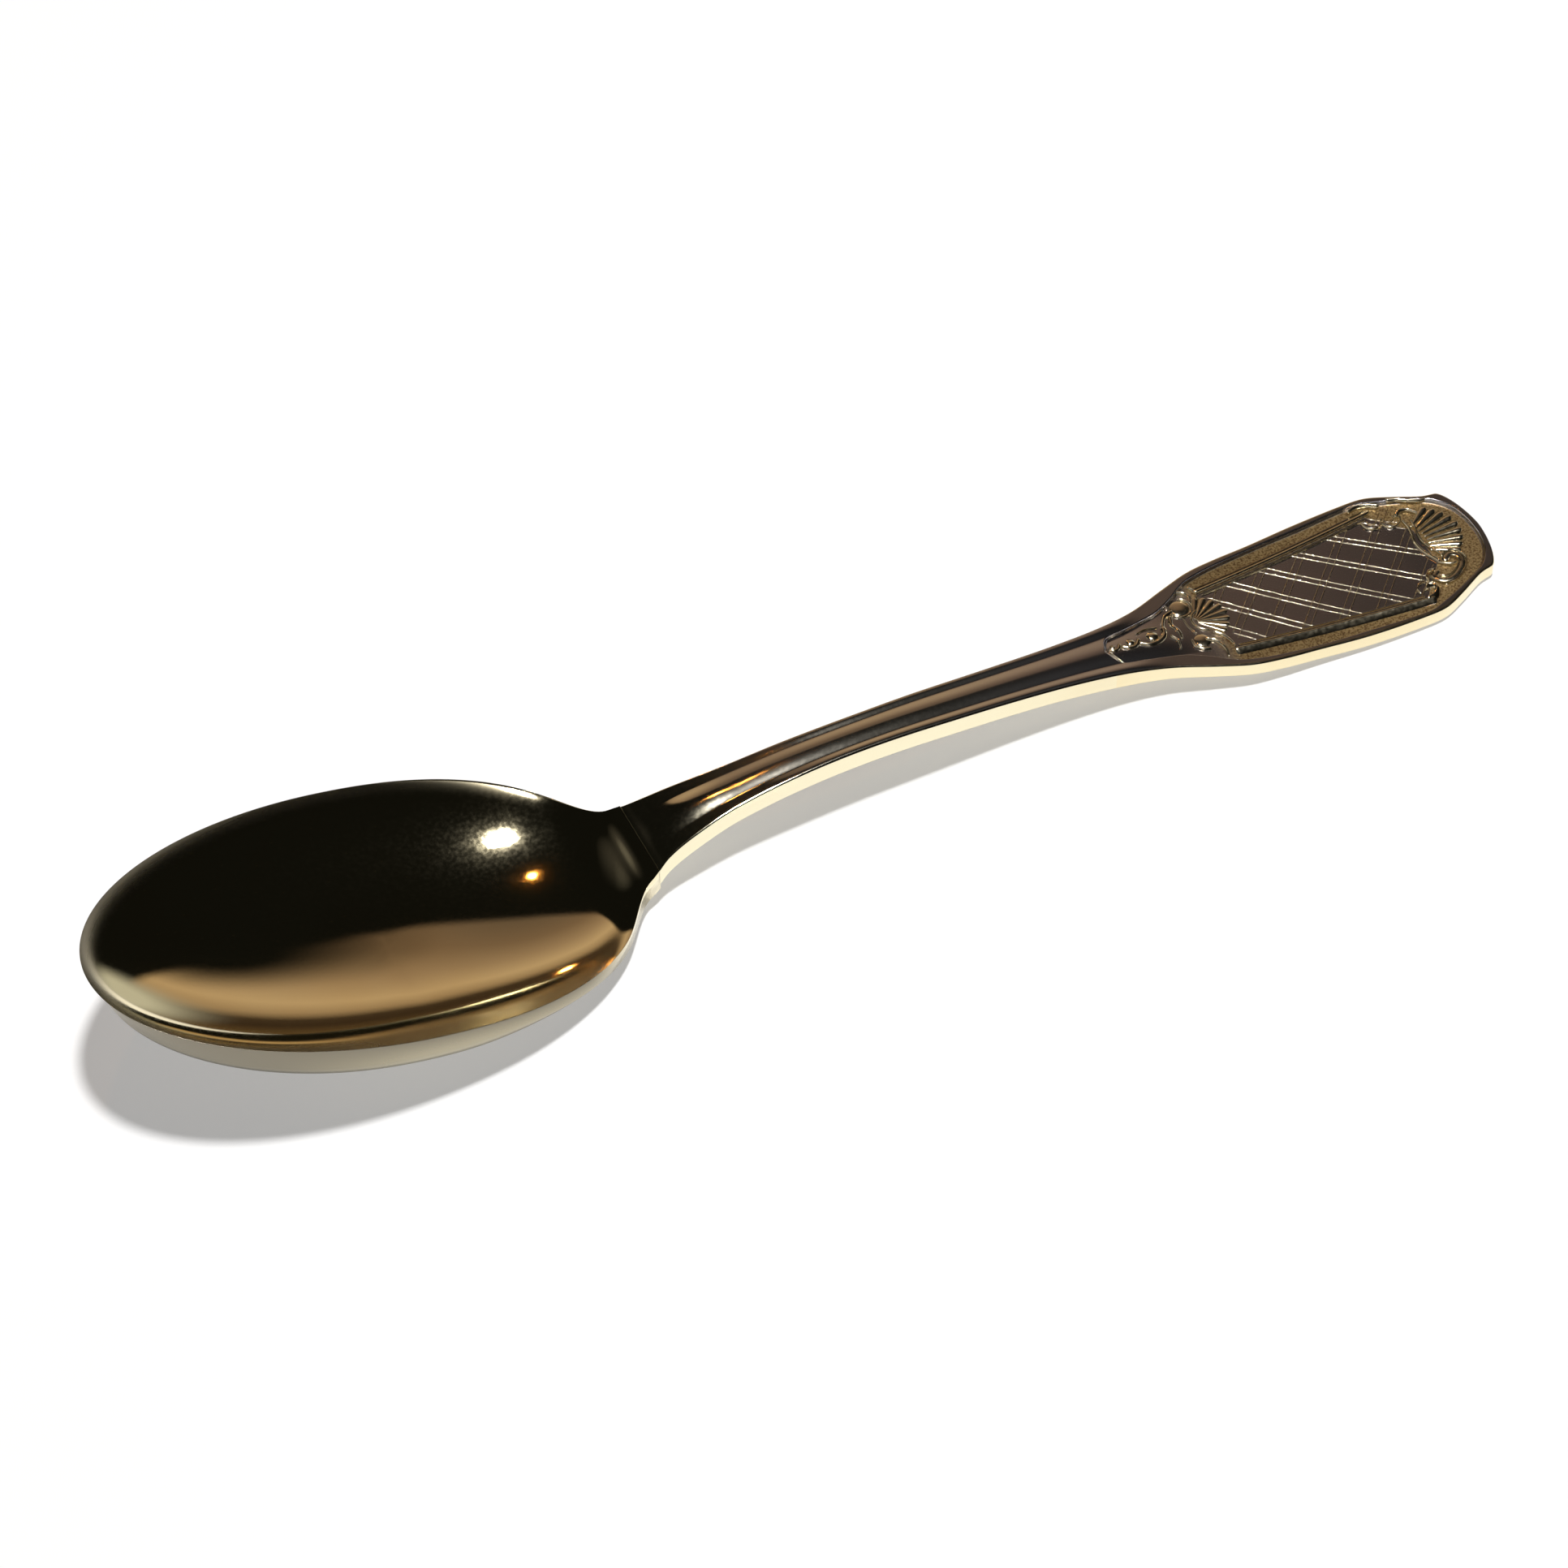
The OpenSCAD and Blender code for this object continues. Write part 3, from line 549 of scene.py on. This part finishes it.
def carve_end_scrolls():
    e = Ornament()
    # two lines close the field
    e.stroke(curve([(131.9, 3.6), (131.95, 2.6), (131.75, 1.6), (131.5, 0.6), (131.6, -0.4), (131.95, -1.3),
                    (132.3, -2.2)]), 0.15, 0.2, 0.34)
    e.stroke(curve([(132.6, 3.3), (132.5, 2.4), (132.3, 1.5), (132.2, 0.7), (132.4, -0.2), (132.75, -1.1),
                    (133.0, -1.6)]), 0.13, 0.16, 0.3)
    # far corner: two bright lips on the rim, scallops and a leaf
    e.stroke(curve([(127.9, 6.95), (128.9, 7.1), (129.8, 6.85), (130.6, 6.35)]), 0.18, 0.3, 0.5)
    e.stroke(curve([(131.9, 6.45), (132.7, 6.15), (133.5, 5.6), (134.5, 5.15), (135.5, 4.95)]), 0.3, 0.2, 0.5)
    e.stroke(arc(129.25, 4.95, 0.95, 165, 350), 0.12, 0.13, 0.26)
    e.stroke(arc(129.35, 5.1, 0.5, 175, 350), 0.07, 0.08, 0.14)
    e.stroke(arc(130.95, 4.35, 0.95, 190, 380), 0.13, 0.12, 0.26)
    e.stroke(arc(130.9, 4.6, 0.5, 185, 375), 0.08, 0.07, 0.14)
    e.stroke(curve([(131.7, 4.5), (132.2, 4.85), (133.0, 4.65), (133.5, 4.0)]), 0.28, 0.18, 0.42)
    # near corner: the moulding's hook and two scrolls, the large one with fine borders on both sides
    e.stroke(curve([(129.2, -6.0), (129.9, -5.75), (130.35, -5.2), (130.3, -4.7), (129.85, -4.45),
                    (129.5, -4.75)]), 0.38, 0.2, 0.42, lean=0.6)
    e.stroke(curve([(128.7, -4.9), (128.75, -4.3), (129.2, -3.9), (129.8, -3.8)]), 0.1, 0.12, 0.26)
    e.stroke(curve([(130.2, -4.0), (130.3, -3.4), (130.8, -2.9), (131.4, -2.95)]), 0.13, 0.16, 0.3)
    e.stroke(curve([(132.2, -2.4), (132.6, -2.8), (133.1, -3.1), (133.55, -3.15)]), 0.14, 0.16, 0.34)
    scroll = curve([(133.0, -2.25), (133.5, -1.95), (134.1, -2.15), (134.35, -2.8), (134.15, -3.45),
                    (133.5, -4.05), (132.7, -4.5), (131.9, -4.6), (131.25, -4.25), (131.05, -3.7),
                    (131.4, -3.35)])
    e.stroke(scroll, 0.4, 0.34, 0.24, 0.3)
    for shift, radius in ((-0.38, 0.09), (0.38, 0.11)):
        e.stroke(beside(scroll, shift), radius, radius, 0.36)
    return e


def carve_base_shell():
    fan = Ornament(0.45)
    fan.shell(107.8, 0.75, 60, -42, 8, 0.4, 3.2, 0.34, 0.28)
    fan.stroke(arc(108.9, 0.6, 1.3, 105, 255), 0.14, 0.14, 0.36)
    fan.stroke(curve([(107.0, 1.3), (106.95, 0.4), (107.2, -0.6)]), 0.1, 0.1, 0.24)
    return fan


def carve_base_scrolls():
    c = Ornament(0.7)
    c.boss(107.3, 2.75, 0.98, 0.24, 0.35)
    c.stroke(arc(107.3, 2.75, 1.16, 150, 420), 0.1, 0.16, 0.3)
    c.stroke(curve([(107.9, 4.7), (108.6, 4.3), (108.9, 3.6), (108.6, 3.0)]), 0.22, 0.16, 0.36)
    c.stroke(curve([(109.4, 4.7), (109.75, 4.0), (109.4, 3.2)]), 0.2, 0.14, 0.34)
    c.boss(107.3, -1.65, 0.8, 0.24, 0.35)
    c.stroke(curve([(106.4, -1.3), (106.35, -2.0), (106.8, -2.6), (107.4, -2.8)]), 0.12, 0.2, 0.32)
    c.stroke(curve([(107.9, -1.7), (108.35, -2.0), (108.75, -2.8), (108.8, -3.6), (108.6, -4.3)]),
             0.28, 0.16, 0.42)
    c.stroke(curve([(108.9, -1.2), (109.4, -1.8), (109.7, -2.6), (109.8, -3.3)]), 0.22, 0.14, 0.38)
    c.stroke(curve([(105.9, 2.0), (105.6, 1.1), (105.85, 0.2), (105.7, -0.7)]), 0.26, 0.16, 0.3)
    return c


def carve_leaf_drop():
    """Husks that get smaller towards the stem."""
    d = Ornament(0.8)
    d.stroke(curve([(103.4, -0.3), (104.3, 0.3), (104.8, 1.4), (105.5, 2.3), (106.3, 2.6)]), 0.22, 0.26, 0.34)
    d.stroke(curve([(104.9, -0.2), (105.2, -0.9), (105.0, -1.7)]), 0.18, 0.12, 0.28)
    d.stroke(curve([(101.8, 0.0), (102.5, -0.4), (103.5, -0.35), (104.3, 0.15), (104.6, 0.9)]),
             0.22, 0.32, 0.36)
    d.boss(103.2, 0.5, 0.62, 0.28)
    d.stroke(curve([(102.0, 1.3), (103.0, 1.5), (104.0, 1.3)]), 0.1, 0.16, 0.24)
    d.stroke(curve([(100.0, 0.2), (100.5, -0.15), (101.2, -0.1), (101.7, 0.4)]), 0.18, 0.26, 0.34)
    d.boss(100.9, 0.5, 0.46, 0.26)
    d.stroke(curve([(98.6, 0.35), (98.95, 0.05), (99.4, 0.1), (99.75, 0.5)]), 0.14, 0.22, 0.3)
    d.boss(99.05, 0.5, 0.32, 0.24)
    d.stroke(curve([(98.4, 0.0), (98.75, -0.8), (99.1, -1.6)]), 0.12, 0.14, 0.26)
    return d


# Stem and terminal
EDGE_ROUND = 0.2                          # radius of the handle's upper edges
UNDER_ROUND, UNDER_ROUND_LESS = 0.42, 0.14   # of its lower edges, and how much less at the terminal
UNDER_CAMBER = 0.22                       # rise of the stem's underside towards its edges
# Painted shade on the handle's top: a greyer, darker tone that dims what it mirrors; the edges stay bright
PAINTED_SHADE_START, PAINTED_SHADE_FULL = 52.0, 62.0
EDGE_BRIGHT = 0.93                        # painted shade ends here on the way from the axis to the edge


def edge_distance(x, y):
    """Distance from the handle's outline, in mm, for points inside it."""
    bent = CORNER + (LENGTH - CORNER)*np.sin(np.linspace(0, np.pi/2, 40))[1:]
    ex = np.concatenate([np.linspace(40, CORNER, 400), bent])
    ew = half_width(ex)
    slope = np.abs(np.gradient(ew, ex))
    d = (half_width(x) - np.abs(y))/np.sqrt(1 + np.interp(x, ex, np.minimum(slope, 6))**2)
    end = x > CORNER - 3
    if end.any():
        near = ex > CORNER - 6
        d[end] = segment_distance(x[end], np.abs(y[end]), ex[near], ew[near])
    return np.clip(d, 0, None)


def rounding(d, r):
    """How far a rounded edge of that radius lies below the face, at distance d from the outline."""
    u = 1 - np.clip(d/r, 0, 1)
    return r*(1 - np.sqrt(1 - u*u))


def handle_grid(xs, n):
    """Rows of n points across the handle, closer together towards its edges."""
    t = np.sin(np.linspace(-1, 1, n)*np.pi/2*0.94)/math.sin(np.pi/2*0.94)
    x = np.repeat(xs[:, None], n, 1)
    w = half_width(xs)[:, None]
    return x, t[None]*w, np.broadcast_to(np.abs(t)[None], x.shape)


def close_skins(upper, lower):
    """Points and faces of a closed body between an upper and a lower grid."""
    rows, m = upper.shape[:2]
    size = rows*m
    verts = [upper.reshape(-1, 3), lower.reshape(-1, 3)]
    quads = [grid_quads(rows, m), grid_quads(rows, m, start=size, flip=True)]
    start = 2*size
    for col, flip in ((0, True), (m - 1, False)):
        a, b = upper[:, col], lower[:, col]
        verts.append(np.stack([a*(1 - k) + b*k for k in (0, 0.02, 0.5, 0.98, 1)], 1).reshape(-1, 3))
        quads.append(grid_quads(rows, 5, start=start, flip=flip))
        start += rows*5
    for row, flip in ((0, False), (rows - 1, True)):
        verts += [upper[row], lower[row]]
        e = start + np.arange(m)
        q = np.stack([e[:-1], e[1:], e[1:] + m, e[:-1] + m], -1)
        quads.append(q[:, ::-1] if flip else q)
        start += 2*m
    return np.concatenate(verts), np.vstack(quads)


def build_handle_part(name, xs, n, node_name, material, panel):
    """A closed stretch of the handle: top with its relief, bottom, sides and ends."""
    x, y, t = handle_grid(xs, n)
    d = edge_distance(x, y)
    crown, thread = crown_body(x, t), border_thread(x, t)
    cut = ramp(-0.06, 0.2, panel_inside(x, y)) if panel else 0
    face = edge_z(x)
    top = face + (crown + thread*(1 - cut) - PANEL_DROP*cut) - rounding(d, EDGE_ROUND)
    camber = UNDER_CAMBER*t*t*(1 - ramp(90, 112, x))
    bottom = face - thickness(x) + camber + rounding(d, UNDER_ROUND - UNDER_ROUND_LESS*ramp(90, 110, x))
    bottom = np.minimum(bottom, top - 0.2)
    verts, quads = close_skins(np.stack([x, y, top], -1), np.stack([x, y, bottom], -1))
    # painted shade over the top, growing towards the terminal, none at the edges
    painted_shade = np.zeros(len(verts))
    growing = ramp(PAINTED_SHADE_START, PAINTED_SHADE_FULL, x)*(0.55 + 0.45*ramp(72, CUT, x))
    painted_shade[:x.size] = (growing*(1 - ramp(EDGE_BRIGHT, 1.0, t))).ravel()
    return make_piece(name, verts, quads, node_name, material, painted_shade), x, y


def build_stem(material):
    xs = np.concatenate([np.linspace(JOIN, 62, 80), np.linspace(62, CUT, 130)[1:]])
    build_handle_part("stem_fine", xs, 97, "stem", material, False)


def build_terminal(material):
    """The terminal, with a sandy band between its rim and the moulding."""
    rounded = CORNER + (LENGTH - CORNER)*np.sin(np.linspace(0, np.pi/2, 44))[1:]
    xs = np.concatenate([np.linspace(CUT, CORNER, 640), rounded])
    terminal, x, y = build_handle_part("terminal_fine", xs, 261, "terminal", material, True)
    field_edge = field_half(x) + 0.3 - 1.2*np.clip(x - FIELD_END, 0, None)
    field = (x > FIELD_START - 0.4) & (x < 132.2) & (np.abs(y) < field_edge)
    band = np.zeros(len(terminal.data.vertices))
    band[:x.size] = (ramp(0.05, 0.25, panel_inside(x, y))*(~field)*ramp(106, 110, x)).ravel()
    add_attribute(terminal.data, "band", band)


# Finishes
PALE_GOLD, DEEP_GOLD = (0.93, 0.83, 0.56), (0.80, 0.62, 0.33)
# Painted shade: darker, duller tones with their roughness, laid on parts of the bowl and the handle's top
BOWL_PAINTED_SHADE, BOWL_PAINTED_SHADE_ROUGH = (0.25, 0.225, 0.17), 0.32
HANDLE_PAINTED_SHADE, HANDLE_PAINTED_SHADE_ROUGH = (0.52, 0.5, 0.53), 0.17
SAND_TONE = (0.39, 0.285, 0.135)
CLOUD_SCALE, GRAIN_SCALE, SAND_SCALE = 60, 2600, 5200      # noise cells per metre


def new_material(name):
    material = bpy.data.materials.new(name)
    material.use_nodes = True
    tree = material.node_tree
    tree.nodes.clear()
    out = tree.nodes.new("ShaderNodeOutputMaterial")
    return material, tree, out


def node(tree, kind, inputs=None, **settings):
    """A new shader node: settings are its own properties, inputs hold values or outputs of other nodes."""
    made = tree.nodes.new("ShaderNode" + kind)
    for key, value in settings.items():
        setattr(made, key, value)
    for key, value in (inputs or {}).items():
        if isinstance(value, bpy.types.NodeSocket):
            tree.links.new(value, made.inputs[key])
        else:
            made.inputs[key].default_value = value
    return made


def mix_colour(tree, factor, a, b):
    """Colour a where the factor is 0, colour b where it is 1."""
    return node(tree, "Mix", {"Factor": factor, "A": a, "B": b}, data_type="RGBA").outputs["Result"]


def mix_value(tree, factor, a, b):
    return node(tree, "Mix", {"Factor": factor, "A": a, "B": b}).outputs["Result"]


def gold(name, base, dark, rough, painted_shade_tone=None, painted_shade_rough=0.2, band_tone=None, band_rough=0.42):
    """Gold plate with darker clouds and fine grain, where asked a duller painted shade and a sandy band.

    The attributes field and band of a piece say where on it these are.
    """
    material, tree, out = new_material(name)
    place = node(tree, "TexCoord").outputs["Object"]
    clouds = node(tree, "TexNoise", {"Vector": place, "Scale": CLOUD_SCALE, "Detail": 5}).outputs["Fac"]
    spots = node(tree, "MapRange", {"Value": clouds, "From Min": 0.5, "From Max": 0.8, "To Max": 0.35})
    colour = mix_colour(tree, spots.outputs[0], (*base, 1), (*dark, 1))
    fine = node(tree, "TexNoise", {"Vector": place, "Scale": GRAIN_SCALE, "Detail": 3}).outputs["Fac"]
    bump = node(tree, "Bump", {"Height": fine, "Strength": 0.04, "Distance": 0.00002})
    roughness = node(tree, "MapRange", {"Value": fine, "From Min": 0.35, "From Max": 0.7,
                                        "To Min": rough*0.8, "To Max": rough*1.25}).outputs[0]
    # the field attribute lays the painted shade: a darker tone with its own roughness
    if painted_shade_tone:
        field = node(tree, "Attribute", attribute_name="field").outputs["Fac"]
        colour = mix_colour(tree, field, colour, (*painted_shade_tone, 1))
        roughness = mix_value(tree, field, roughness, painted_shade_rough)
    if band_tone:
        band = node(tree, "Attribute", attribute_name="band").outputs["Fac"]
        sand = node(tree, "TexNoise", {"Vector": place, "Scale": SAND_SCALE, "Detail": 2}).outputs["Fac"]
        dots = node(tree, "MapRange", {"Value": sand, "From Min": 0.36, "From Max": 0.6}).outputs[0]
        between = (band_tone[0]*0.35, band_tone[1]*0.3, band_tone[2]*0.3, 1)
        colour = mix_colour(tree, band, colour, mix_colour(tree, dots, between, (*band_tone, 1)))
        roughness = mix_value(tree, band, roughness, band_rough)
        strength = node(tree, "Math", {0: band, 1: 0.5, 2: 0.04}, operation="MULTIPLY_ADD")
        tree.links.new(strength.outputs[0], bump.inputs["Strength"])
    surface = node(tree, "BsdfPrincipled", {"Metallic": 1.0, "Base Color": colour, "Roughness": roughness,
                                            "Normal": bump.outputs[0]})
    tree.links.new(surface.outputs[0], out.inputs["Surface"])
    return material


polished = gold("polished_gold", PALE_GOLD, DEEP_GOLD, 0.06, BOWL_PAINTED_SHADE, BOWL_PAINTED_SHADE_ROUGH)
worn = gold("worn_gold", (0.93, 0.86, 0.62), (0.80, 0.66, 0.40), 0.09, HANDLE_PAINTED_SHADE, HANDLE_PAINTED_SHADE_ROUGH)
struck = gold("struck_gold", PALE_GOLD, DEEP_GOLD, 0.12, HANDLE_PAINTED_SHADE, HANDLE_PAINTED_SHADE_ROUGH, SAND_TONE)
relief_gold = gold("relief_gold", (0.84, 0.75, 0.56), (0.45, 0.34, 0.2), 0.16)

# The pieces
build_bowl(polished)
build_stem(worn)
build_terminal(struck)
carve_frame().piece("frame_moulding", relief_gold)
carve_lattice().piece("lattice", relief_gold)
carve_end_shell().piece("end_shell", relief_gold)
carve_end_scrolls().piece("end_scrolls", relief_gold)
carve_base_shell().piece("base_shell", relief_gold)
carve_base_scrolls().piece("base_scrolls", relief_gold)
carve_leaf_drop().piece("leaf_drop", relief_gold)

# Floor, light and camera, in metres and degrees of the row frame
FLOOR_SIZE = 6.0
FLOOR_COLOUR = (0.95, 0.96, 0.985, 1)
FLOOR_GLOW = 0.35                         # share of plain white for camera, glossy and transmission rays
NIGHT = (0.005, 0.005, 0.004)
CURTAIN = (0.52, 0.51, 0.45, 1)
# azimuth, height and reach of what the polish mirrors in the dark room
WALL_PLACE = (66.7, 20.5, 28.5)
CURTAIN_PLACE = (41.0, 4.0, 15.0)         # paler patch beside the wall, mirrored at the bowl's tip
SHADE_PLACE = (37.0, 32.5, 14.0)          # the wall's dark upper corner over that patch
BEHIND = (-0.966, -0.259, 0)              # pale low strip behind the camera's left
WALL_TONES = [(0, (0.10, 0.06, 0.025)), (7, (0.04, 0.024, 0.013)), (11, (0.05, 0.032, 0.018)),
              (15, (0.34, 0.235, 0.14)), (20, (0.50, 0.36, 0.22)), (29, (0.32, 0.22, 0.14)),
              (38, (0.19, 0.125, 0.08)), (50, (0.12, 0.085, 0.06))]      # from the horizon upwards
STRIP_TONES = [(0, (0.70, 0.66, 0.58)), (20, (0.50, 0.47, 0.41)), (32, (0.05, 0.046, 0.04)), (40, NIGHT)]
LAMP_DISTANCE = 1.2
CAMERA_LENS, CAMERA_SENSOR = 110.67, 36.0
CAMERA_PLACE = (-0.11829, -0.24882, 0.33717)
CAMERA_RIGHT = (0.89604, -0.44338, -0.02299)
CAMERA_BACK = (-0.26554, -0.57671, 0.77259)


def floor():
    """Pale floor that keeps the spoon's shadow."""
    bpy.ops.mesh.primitive_plane_add(size=FLOOR_SIZE, location=(0, 0, 0))
    obj = bpy.context.object
    obj.name = "floor"
    material, tree, out = new_material("pale_floor")
    path = node(tree, "LightPath").outputs
    seen = node(tree, "Math", {0: path["Is Camera Ray"], 1: path["Is Glossy Ray"]}, operation="ADD")
    seen = node(tree, "Math", {0: seen.outputs[0], 1: path["Is Transmission Ray"]}, operation="ADD")
    share = node(tree, "Math", {0: seen.outputs[0], 1: FLOOR_GLOW}, operation="MULTIPLY")
    diffuse = node(tree, "BsdfDiffuse", {"Color": FLOOR_COLOUR})
    glow = node(tree, "Emission", {"Color": (1, 1, 1, 1)})
    mix = node(tree, "MixShader", {0: share.outputs[0], 1: diffuse.outputs[0], 2: glow.outputs[0]})
    tree.links.new(mix.outputs[0], out.inputs["Surface"])
    obj.data.materials.append(material)


def step_towards(tree, place, direction, start, full):
    """0 where the cosine to a direction is under start, and 1 where it is over full."""
    dot = node(tree, "VectorMath", {0: place, 1: direction}, operation="DOT_PRODUCT")
    step = node(tree, "MapRange", {"Value": dot.outputs["Value"], "From Min": start, "From Max": full},
                interpolation_type="SMOOTHSTEP")
    return step.outputs[0]


def round_patch(tree, place, azimuth, height, outer, inner):
    """1 within inner degrees of a direction, falling to 0 at outer degrees."""
    az, el = math.radians(azimuth), math.radians(height)
    direction = (math.cos(az)*math.cos(el), math.sin(az)*math.cos(el), math.sin(el))
    dot = node(tree, "VectorMath", {0: place, 1: direction}, operation="DOT_PRODUCT")
    turn = node(tree, "Math", {0: dot.outputs["Value"]}, operation="ARCCOSINE")
    lit = node(tree, "MapRange", {"Value": turn.outputs[0], "From Min": math.radians(outer),
                                  "From Max": math.radians(inner)}, interpolation_type="SMOOTHSTEP")
    return lit.outputs[0]


def tone_by_height(tree, sine, stops):
    """Colours by the height over the horizon; stops are (degrees, colour)."""
    tone = node(tree, "ValToRGB", {0: sine})
    elements = tone.color_ramp.elements
    for k, (degrees, colour) in enumerate(stops):
        at = math.sin(math.radians(degrees))
        stop = elements[k] if k < 2 else elements.new(at)
        stop.position = at
        stop.color = (*colour, 1)
    return tone.outputs[0]


def world():
    """A dark room for the polish to mirror: a pale wall, a paler patch beside it and a low pale strip."""
    room = bpy.data.worlds.new("room")
    bpy.context.scene.world = room
    room.use_nodes = True
    tree = room.node_tree
    tree.nodes.clear()
    place = node(tree, "TexCoord").outputs["Generated"]
    sine = node(tree, "SeparateXYZ", {0: place}).outputs["Z"]
    strip = step_towards(tree, place, BEHIND, 0.25, 0.55)
    wall = round_patch(tree, place, *WALL_PLACE[:2], WALL_PLACE[2] + 1.5, WALL_PLACE[2] - 2.0)
    shade = round_patch(tree, place, *SHADE_PLACE, SHADE_PLACE[2]/5)
    curtain = round_patch(tree, place, *CURTAIN_PLACE, CURTAIN_PLACE[2]/3)
    colour = mix_colour(tree, strip, (*NIGHT, 1), tone_by_height(tree, sine, STRIP_TONES))
    colour = mix_colour(tree, wall, colour, tone_by_height(tree, sine, WALL_TONES))
    colour = mix_colour(tree, shade, colour, (*NIGHT, 1))
    colour = mix_colour(tree, curtain, colour, CURTAIN)
    back = node(tree, "Background", {"Color": colour})
    out = node(tree, "OutputWorld")
    tree.links.new(back.outputs[0], out.inputs["Surface"])


def lamp(name, direction, size, power, colour):
    """A round lamp in a direction from the spoon, turned towards it."""
    data = bpy.data.lights.new(name, "AREA")
    data.shape = "DISK"
    data.size = size
    data.energy = power
    data.color = colour
    obj = bpy.data.objects.new(name, data)
    v = Vector(direction).normalized()
    obj.location = v*LAMP_DISTANCE
    obj.rotation_euler = v.to_track_quat("Z", "Y").to_euler()
    bpy.context.collection.objects.link(obj)


def camera():
    data = bpy.data.cameras.new("camera")
    data.sensor_width = CAMERA_SENSOR
    data.lens = CAMERA_LENS
    data.clip_end = 20
    obj = bpy.data.objects.new("camera", data)
    right, back = Vector(CAMERA_RIGHT).normalized(), Vector(CAMERA_BACK).normalized()
    up = back.cross(right).normalized()
    matrix = Matrix((up.cross(back), up, back)).transposed().to_4x4()
    matrix.translation = Vector(CAMERA_PLACE)
    obj.matrix_world = matrix
    bpy.context.collection.objects.link(obj)
    bpy.context.scene.camera = obj


floor()
world()
lamp("window", (0.087, -0.012, 0.996), 0.12, 14.8, (1.0, 0.985, 0.96))
lamp("warm_bulb", (0.064, 0.39, 0.919), 0.05, 0.4, (1.0, 0.42, 0.08))
lamp("low_bulb", (0.16, 0.975, 0.14), 0.035, 0.2, (1.0, 0.42, 0.10))
camera()
bpy.context.scene.view_settings.view_transform = "Standard"
